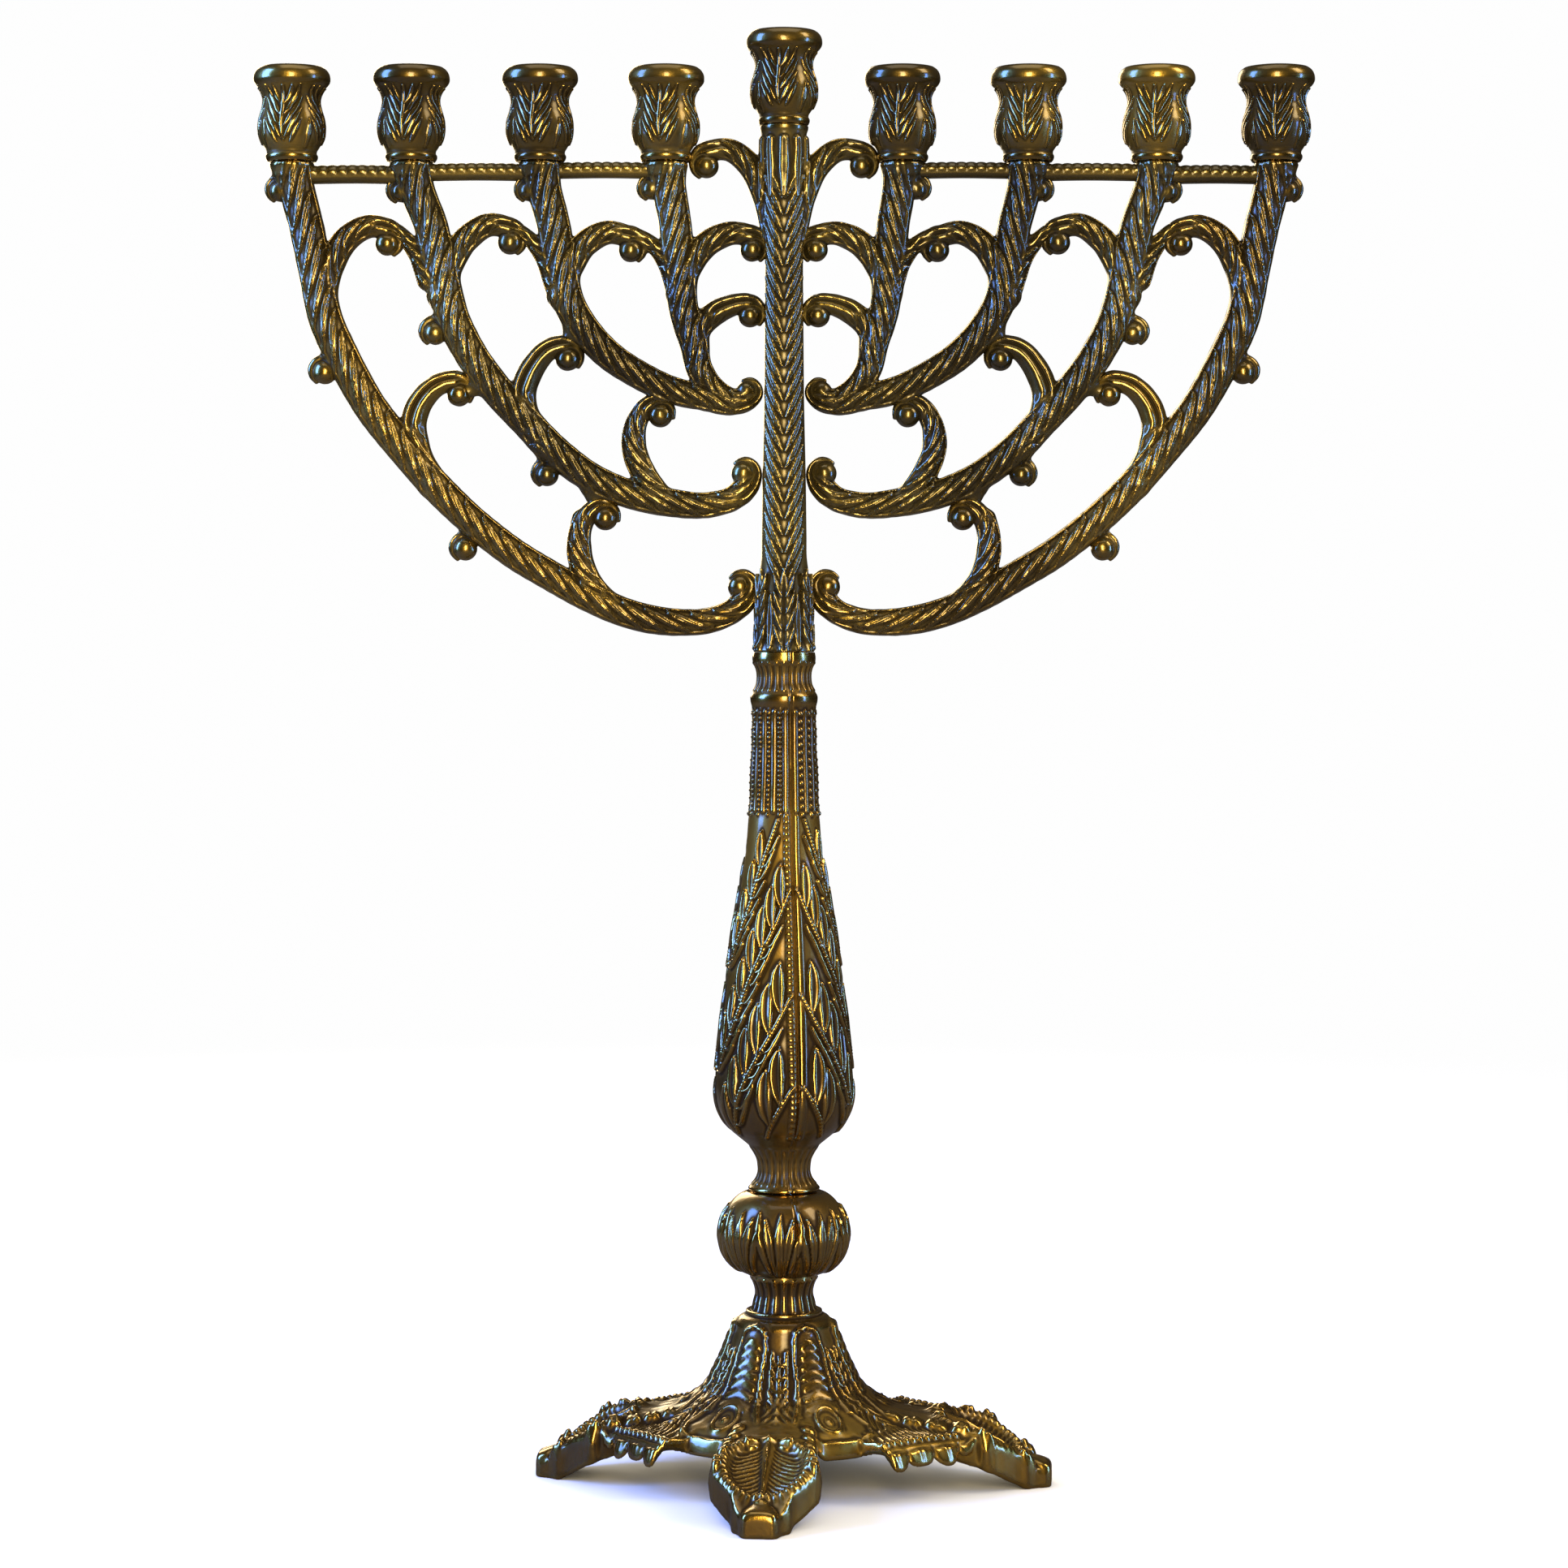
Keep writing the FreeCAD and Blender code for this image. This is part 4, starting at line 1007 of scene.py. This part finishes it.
# By distance from the axis: half width of a foot, level of its top, and level its side walls reach down to.
FOOT_WIDTH = [(20, 9), (30, 10.5), (38, 12), (44, 12.7), (50, 13), (53.5, 12.8), (56, 10.9), (58.5, 8.6),
              (61, 6.9), (64, 5.6), (66.5, 4.8), (68, 3.4)]
SPINE = [(20, 22.4), (25, 20.6), (33, 18.8), (38, 18.2), (42, 17), (46, 15.2), (50, 13.1), (54, 10.8),
         (58, 8.4), (61, 6.6), (63.5, 5.6), (66, 4.8), (68, 4.2)]
WALL_FOOT = [(40, 9.6), (44, 8.2), (48, 6.8), (53, 4.8), (57, 2.2), (60, 0.4), (62, -1.2)]
TOE = 67.6
# Middle of a foot's shell medallion, and its half length and half width.
MEDAL_PLACE = 49.2
MEDAL_LENGTH = 11.0
MEDAL_WIDTH = 10.8
# Lumps along a foot's edges: distance from the axis, radius, height and how far in from the edge.
LUMPS = [(29, 2.2, 1.3, 1), (34, 2.4, 1.5, 1), (39.4, 2.5, 1.7, 1), (45, 2.2, 1.6, 1), (51.3, 2.2, 2.2, 0),
         (61.6, 2.2, 2.6, 1)]


def bell_sheet():
    """Arched panels of stacked shell ridges, with a narrow acanthus leaf between each pair."""
    sheet = Sheet(smooth_profile(BELL, 0.3), WHOLE_TURN)
    half_repeat = math.pi / BELL_REPEATS
    for leaf in bearings(BELL_REPEATS, BELL_TURN):
        panel = leaf + half_repeat
        sheet.rib(leaf, (19.5, 28.0, 35.5), [1.1, 0.8, 0.3], 0.8)
        for step in range(5):
            low = 20.0 + 3.1 * step
            lobe = [(0.4, low), (1.6, low + 1.2), (3.0 - 0.3 * step, low + 4.0)]
            sheet.leaves(leaf, lobe, [0.3, 0.85, 0.15], 0.75, vein=0.2)
        arch = [(7.9, 20.0), (5.6, 25.0), (4.6, 31.0), (4.0, 37.0), (2.8, 40.8), (0.0, 42.2)]
        sheet.leaves(panel, arch, [0.9, 0.75, 0.65, 0.6, 0.6, 0.6], 0.85)
        for step in range(7):
            low = 23.2 + 2.4 * step
            half = 3.9 - 0.33 * step
            ridge = [(-half, low - 0.7), (0.0, low + 0.5), (half, low - 0.7)]
            sheet.leaf(panel, ridge, [0.9, 1.3, 0.9], 0.45)
    swell = sum(0.8 * dome(sheet.across(leaf + half_repeat) / (sheet.radius * math.radians(15.0)))
                for leaf in bearings(BELL_REPEATS, BELL_TURN))
    sheet.height += swell * step_up(20.0, 25.0, sheet.level) * step_up(42.6, 40.0, sheet.level)
    return sheet


def skirt_relief(reach, turn, p, t, outline):
    """Ribs, eyes, pearls and pointed leaves of the skirt between the feet, as height added to its top."""
    repeat = 2 * math.pi / BELL_REPEATS
    around = (turn + BASE_TURN - BELL_TURN + repeat / 2) % repeat - repeat / 2
    panel = repeat / 2 - np.abs(around)
    rib = (panel - np.radians(np.interp(reach, [22, 25, 30, 34, 40], [17.0, 18.5, 21.0, 16.0, 12.0]))) * reach
    relief = 0.85 * bump(0.0, 0.7, rib) * step_up(36.0, 34.0, reach)
    relief += 0.7 * bump(34.2, 0.6, reach) * step_up(11.0, 9.0, panel * reach)
    eye = np.hypot((reach - 27.0) / 1.25, panel * reach)
    relief += 0.9 * bump(3.1, 0.5, eye) + 0.9 * bump(0.0, 1.0, eye) + 0.35 * bump(1.9, 0.35, eye)
    leaf = np.abs(around) * reach
    strokes = 0.6 * ripple(reach - 1.3 * leaf, 2.6) * step_up(4.5, 3.0, leaf)
    relief += (0.75 * bump(0.0, 0.6, leaf) + strokes) * step_up(35.0, 33.0, reach)
    lobe = step_up(-2.6, -1.2, t)
    plumes = ripple(t + 0.35 * p + 0.05 * t * t, 2.9)
    relief += 0.55 * plumes * lobe * step_up(31.0, 33.0, p) * step_up(39.4, 38.8, p)
    pearls = 1.1 * dome(np.hypot(p - 40.9, cell_phase(t, 2.1) * 1.05))
    relief += lobe * (pearls + 0.5 * bump(39.4, 0.4, p) + 0.4 * bump(42.5, 0.35, p))
    place = cell_phase(t - 1.0, CROCKET_PITCH)
    crocket = 1.3 * dome(place) + 0.5 * ripple(place, 1.0) - 0.5 * bump(0.0, 0.12, place)
    relief += crocket * lobe * step_up(42.6, 44.0, p)
    return relief + step_up(-1.6, -3.6, t) * dome((outline + 1.3) / 1.4)


def foot_relief(u, v, side_foot):
    """A divided shell in a reeded horseshoe rim, a wedge rib, a toe pad and lumpy leaves along the edges."""
    medal_u, medal_v = (u - MEDAL_PLACE) / MEDAL_LENGTH, v / MEDAL_WIDTH
    medal = np.hypot(medal_u, medal_v)
    bearing = np.arctan2(medal_v, medal_u)
    rim = 0.66 + 0.34 * ripple(bearing, 2 * math.pi / 42)
    rim = rim * (0.2 + 0.8 * step_up(2.8, 2.5, np.abs(bearing)))
    bowl = step_up(0.9, 0.76, medal)
    wedge = np.clip(1.0 - v / np.interp(u, [38, 44, 52, 60], [2.3, 1.9, 1.2, 0.7]), 0, 1)
    flutes = np.cos(2 * math.pi * (u - 0.8 * v + 0.03 * v * v) / 1.4)
    relief = 1.8 * bump(1.0, 0.15, medal) * rim - 0.9 * bowl
    relief += 2.0 * np.maximum(bowl, bump(40.0, 3.0, u)) * wedge
    relief += 0.32 * bowl * flutes * step_up(0.25, 0.0, wedge)
    relief += 1.3 * dome(np.hypot(u - 40.4, v - 4.4) / 2.0)
    relief += 1.2 * np.sqrt(np.clip(1 - np.hypot(u - 60.6, v) / 2.4, 0, 1))
    relief += 1.9 * np.sqrt(np.clip(1 - np.hypot((u - 65.6) / 4.2, v / 4.8) ** 3, 0, 1))
    for place, radius, height, inset in LUMPS:
        lump = dome(np.hypot(u - place, v - float(table_of(FOOT_WIDTH, place)) + inset) / radius)
        shown = side_foot if place > 60.0 else 1.0
        relief += height * shown * lump * (1 - 0.3 * bump(place, 0.4, u))
    return relief


def add_skirt_and_feet(clay):
    """A cast sheet with a modelled top: four feet in a cross, and a scalloped lobe between each two."""
    slices, x, y, z = clay.window()
    flat_x = x[:, :, 0] - SIDE_SKEW * step_up(28.0, 52.0, np.abs(x[:, :, 0]))
    flat_y = y[:, :, 0]
    reach = np.hypot(flat_x, flat_y)
    turn = np.arctan2(flat_y, flat_x) - BASE_TURN
    to_front = np.abs(reach * np.cos(turn))
    to_side = np.abs(reach * np.sin(turn))
    # u runs out along the nearest foot and v across it; p runs out along the nearest lobe and t across it.
    u, v = np.maximum(to_front, to_side), np.minimum(to_front, to_side)
    p, t = (to_side + to_front) / math.sqrt(2), (to_side - to_front) / math.sqrt(2)
    wide = table_of(FOOT_WIDTH, u)
    edge = np.minimum(v / wide, 1.0)
    between_feet = step_up(-1.6, -3.6, t)
    # The top, before its relief.
    foot = table_of(SPINE, u) + 1.7 * edge ** 2 * step_up(44.0, 50.0, u) * step_up(64.0, 60.0, u)
    foot -= 1.6 * edge ** 3 * step_up(46.0, 40.0, u) + 1.6 * np.maximum(v - wide, 0.0)
    near_foot = step_up(wide + 2.0, wide - 2.0, v)
    skirt = table_of(SKIRT, reach) - table_of(LOBE_FALL, p) - near_foot * np.maximum(u - 38.0, 0.0)
    skirt -= 1.9 * step_up(30.0, 35.0, reach) * step_up(-1.6, -4.0, t)
    top = -smooth_min(-foot, -skirt, 2.0)
    # The outline: below zero inside it.
    place = cell_phase(t - 1.0, CROCKET_PITCH)
    hang = 1.7 + 0.3 * np.cos(math.pi * (t - 1.0) / CROCKET_PITCH)
    lobe_edge = table_of(LOBE_EDGE, t) + hang * np.sqrt(1.0 - 0.98 * place ** 2) * step_up(-2.4, -0.6, t)
    ears = 1.4 * bump(51.2, 1.6, u) + 0.8 * bump(61.6, 1.6, u)
    outline = np.maximum(v - wide - ears, u - TOE)
    outline = smooth_min(outline, reach - 35.2, 4.0)
    outline = smooth_min(outline, (p - lobe_edge) * 0.8, 1.2)
    # The underside: hollow, but for the walls down both sides of a foot and round its toe.
    wall = np.maximum(step_up(wide - 3.6, wide - 2.6, v), step_up(56.0, 59.0, u))
    wall = wall * step_up(wide + 1.8, wide + 0.6, v) * step_up(38.0, 42.0, u)
    rim = 0.5 * step_up(-2.8, -1.4, outline) * between_feet
    under = np.maximum((top - BELL_WALL - rim) * (1 - wall) + table_of(WALL_FOOT, u) * wall, -2.0)
    on_foot = step_up(wide + 1.4, wide + 0.1, v) * step_up(26.0, 29.0, u)
    top = top + foot_relief(u, v, (to_side > to_front).astype(float)) * on_foot
    top += skirt_relief(reach, turn, p, t, outline) * (1 - on_foot) * step_up(21.5, 23.5, reach)
    top += wave_noise((flat_x, flat_y), 5.0, 11) * 0.12
    # Heights are scaled by the slope, so that the field stays close to a true distance.
    slope = [np.gradient(field, BASE_CELL) for field in (top, under)]
    top_tilt, under_tilt = [1 / np.sqrt(1 + np.minimum(a * a + b * b, 9.0))[:, :, None] for a, b in slope]
    field = np.maximum((z - top[:, :, None]) * top_tilt, (under[:, :, None] - z) * under_tilt)
    field = -smooth_min(-field, -(outline[:, :, None] + 0 * z), 1.3)
    field = np.maximum(field, (22.0 - reach)[:, :, None])
    clay.add(slices, field.astype(np.float32), 0.01)


def add_bell(clay):
    """The hollow bell over the feet, closed by the plate that the spool stands on."""
    sheet = bell_sheet()
    slices, x, y, z = clay.window((-30, -30, 18.5), (30, 30, 44.2))
    reach = np.hypot(x, y)
    radius = np.interp(z[0, 0], sheet.profile[:, 1], sheet.profile[:, 0])
    slant = (1 / np.sqrt(1 + np.gradient(radius, BASE_CELL) ** 2))[None, None, :]
    radius = radius[None, None, :]
    lift = sheet.sample(np.arctan2(y, x) + 0 * z, z + 0 * reach)
    bell = np.maximum((reach + 0 * z - radius) * slant - lift + 0.35, (radius - reach) * slant - BELL_WALL)
    plate = np.maximum(np.maximum(z - 43.4, 40.7 - z) + 0 * reach, reach - radius + 0.2)
    clay.add(slices, np.minimum(np.maximum(bell, 21.2 - z), plate).astype(np.float32), 0.8)


def make_base():
    clay = Clay((-70.6, -68.6, -0.8), (70.6, 68.6, 44.2), BASE_CELL)
    add_skirt_and_feet(clay)
    add_bell(clay)
    clay.drill(3.2, 30.0, 50.0)
    clay.keep(0.02, 50.0)
    stand_for(clay.mesh("footed_base", GOLD), "base_casting")


# ---- brace bars and hidden fittings

def cast_bumps(s, q, y, radius):
    """Rounded notches along the lower side of a brace bar."""
    return 0.35 * np.sqrt(np.abs(np.cos(math.pi * s / 2.6))) * step_up(-0.2, 0.35, q) - 0.15


def make_braces():
    for place in ("inner", "middle", "outer"):
        low, high = node_box(f"brace_bar_right_{place}")
        middle, level = (low[0] + high[0]) / 2, (low[2] + high[2]) / 2 - 0.25
        clay = Clay(low - 2.0, high + 1.5, 0.22)
        path, along = curve_through([(low[0], level), (middle, level + 0.2), (high[0], level)])
        clay.add_bar(path, along, np.full(len(path), (high[2] - low[2]) / 2 + 0.1), cast_bumps, 0.2)
        stand_on_both_sides(clay.mesh(f"brace_{place}_right", OLIVE), f"brace_bar_right_{place}")


def finish_fittings():
    """The plain turned fittings keep their CAD shapes."""
    for node in ("tie_rod", "base_nut", "base_washer", "cup_studs"):
        materials = frame["nodes"][node].data.materials
        materials.clear()
        materials.append(STEEL)


# ---- studio

# Rectangular lamps aimed at the middle of the object: name, place, power, size, colour.
LAMPS = [
    ("left_window", (-1.0, -0.16, 0.60), 25, (0.4, 0.9), (0.10, 0.27, 1.0)),
    ("right_window", (1.05, -0.28, 0.28), 6, (0.14, 0.6), (0.12, 0.30, 1.0)),
    ("front_lamp", (0.03, -1.2, 0.36), 13, (0.30, 0.9), (1.0, 0.79, 0.40)),
    ("right_lamp", (0.85, -0.25, 0.95), 4, (0.35, 0.5), (1.0, 0.82, 0.50)),
    ("back_lamp", (-0.4, 1.2, 0.6), 6, (0.5, 0.7), (1.0, 0.84, 0.55)),
    ("top", (0.0, -0.1, 1.3), 2, (0.9, 0.7), (1.0, 0.95, 0.86)),
]
# What the metal mirrors, from straight below it to straight above it.
ROOM = [(0.0, (0.022, 0.016, 0.010)), (0.5, (0.022, 0.017, 0.012)), (0.7, (0.05, 0.043, 0.032)),
        (1.0, (0.09, 0.083, 0.07))]


def make_lamps():
    for name, place, power, size, colour in LAMPS:
        lamp = bpy.data.lights.new(name, "AREA")
        lamp.energy = power
        lamp.shape = "RECTANGLE"
        lamp.size, lamp.size_y = size
        lamp.color = colour
        thing = new_object(name, lamp)
        thing.location = place
        towards = Vector((0, 0, 0.19)) - thing.location
        thing.rotation_euler = towards.to_track_quat("-Z", "Y").to_euler()


def make_room():
    """A pale floor and backdrop. The metal mirrors a dim warm room instead of the backdrop."""
    bpy.ops.mesh.primitive_plane_add(size=8.0, location=(0, 0, 0))
    floor = bpy.context.object
    floor.name = "floor"
    floor.data.materials.append(studio_floor("pale_floor"))
    world = bpy.data.worlds.new("studio")
    nodes = Nodes(world)
    split = nodes.new("SeparateXYZ", {0: nodes.new("TexCoord").outputs["Generated"]})
    room = nodes.ramp(nodes.maths("MULTIPLY_ADD", split.outputs["Z"], 0.5, 0.5), ROOM)
    direct = nodes.maths("SUBTRACT", 1.0, nodes.new("LightPath").outputs["Is Glossy Ray"])
    seen = nodes.mix(direct, room, (0.99, 0.99, 0.99))
    nodes.feed(nodes.tree.nodes["Background"], {"Color": seen, "Strength": 1.0})
    bpy.context.scene.world = world


def make_camera():
    lens = bpy.data.cameras.new("camera")
    lens.sensor_width = 36.0
    lens.lens = 87.6
    lens.shift_y = -0.0972
    camera = new_object("camera", lens)
    camera.location = (0.0, -1.0, 0.222)
    camera.rotation_euler = (math.radians(90), 0, 0)
    bpy.context.scene.camera = camera
    bpy.context.scene.view_settings.view_transform = "Standard"


make_arms()
make_cups()
make_stem()
make_shaft()
make_base()
make_braces()
finish_fittings()
make_room()
make_lamps()
make_camera()
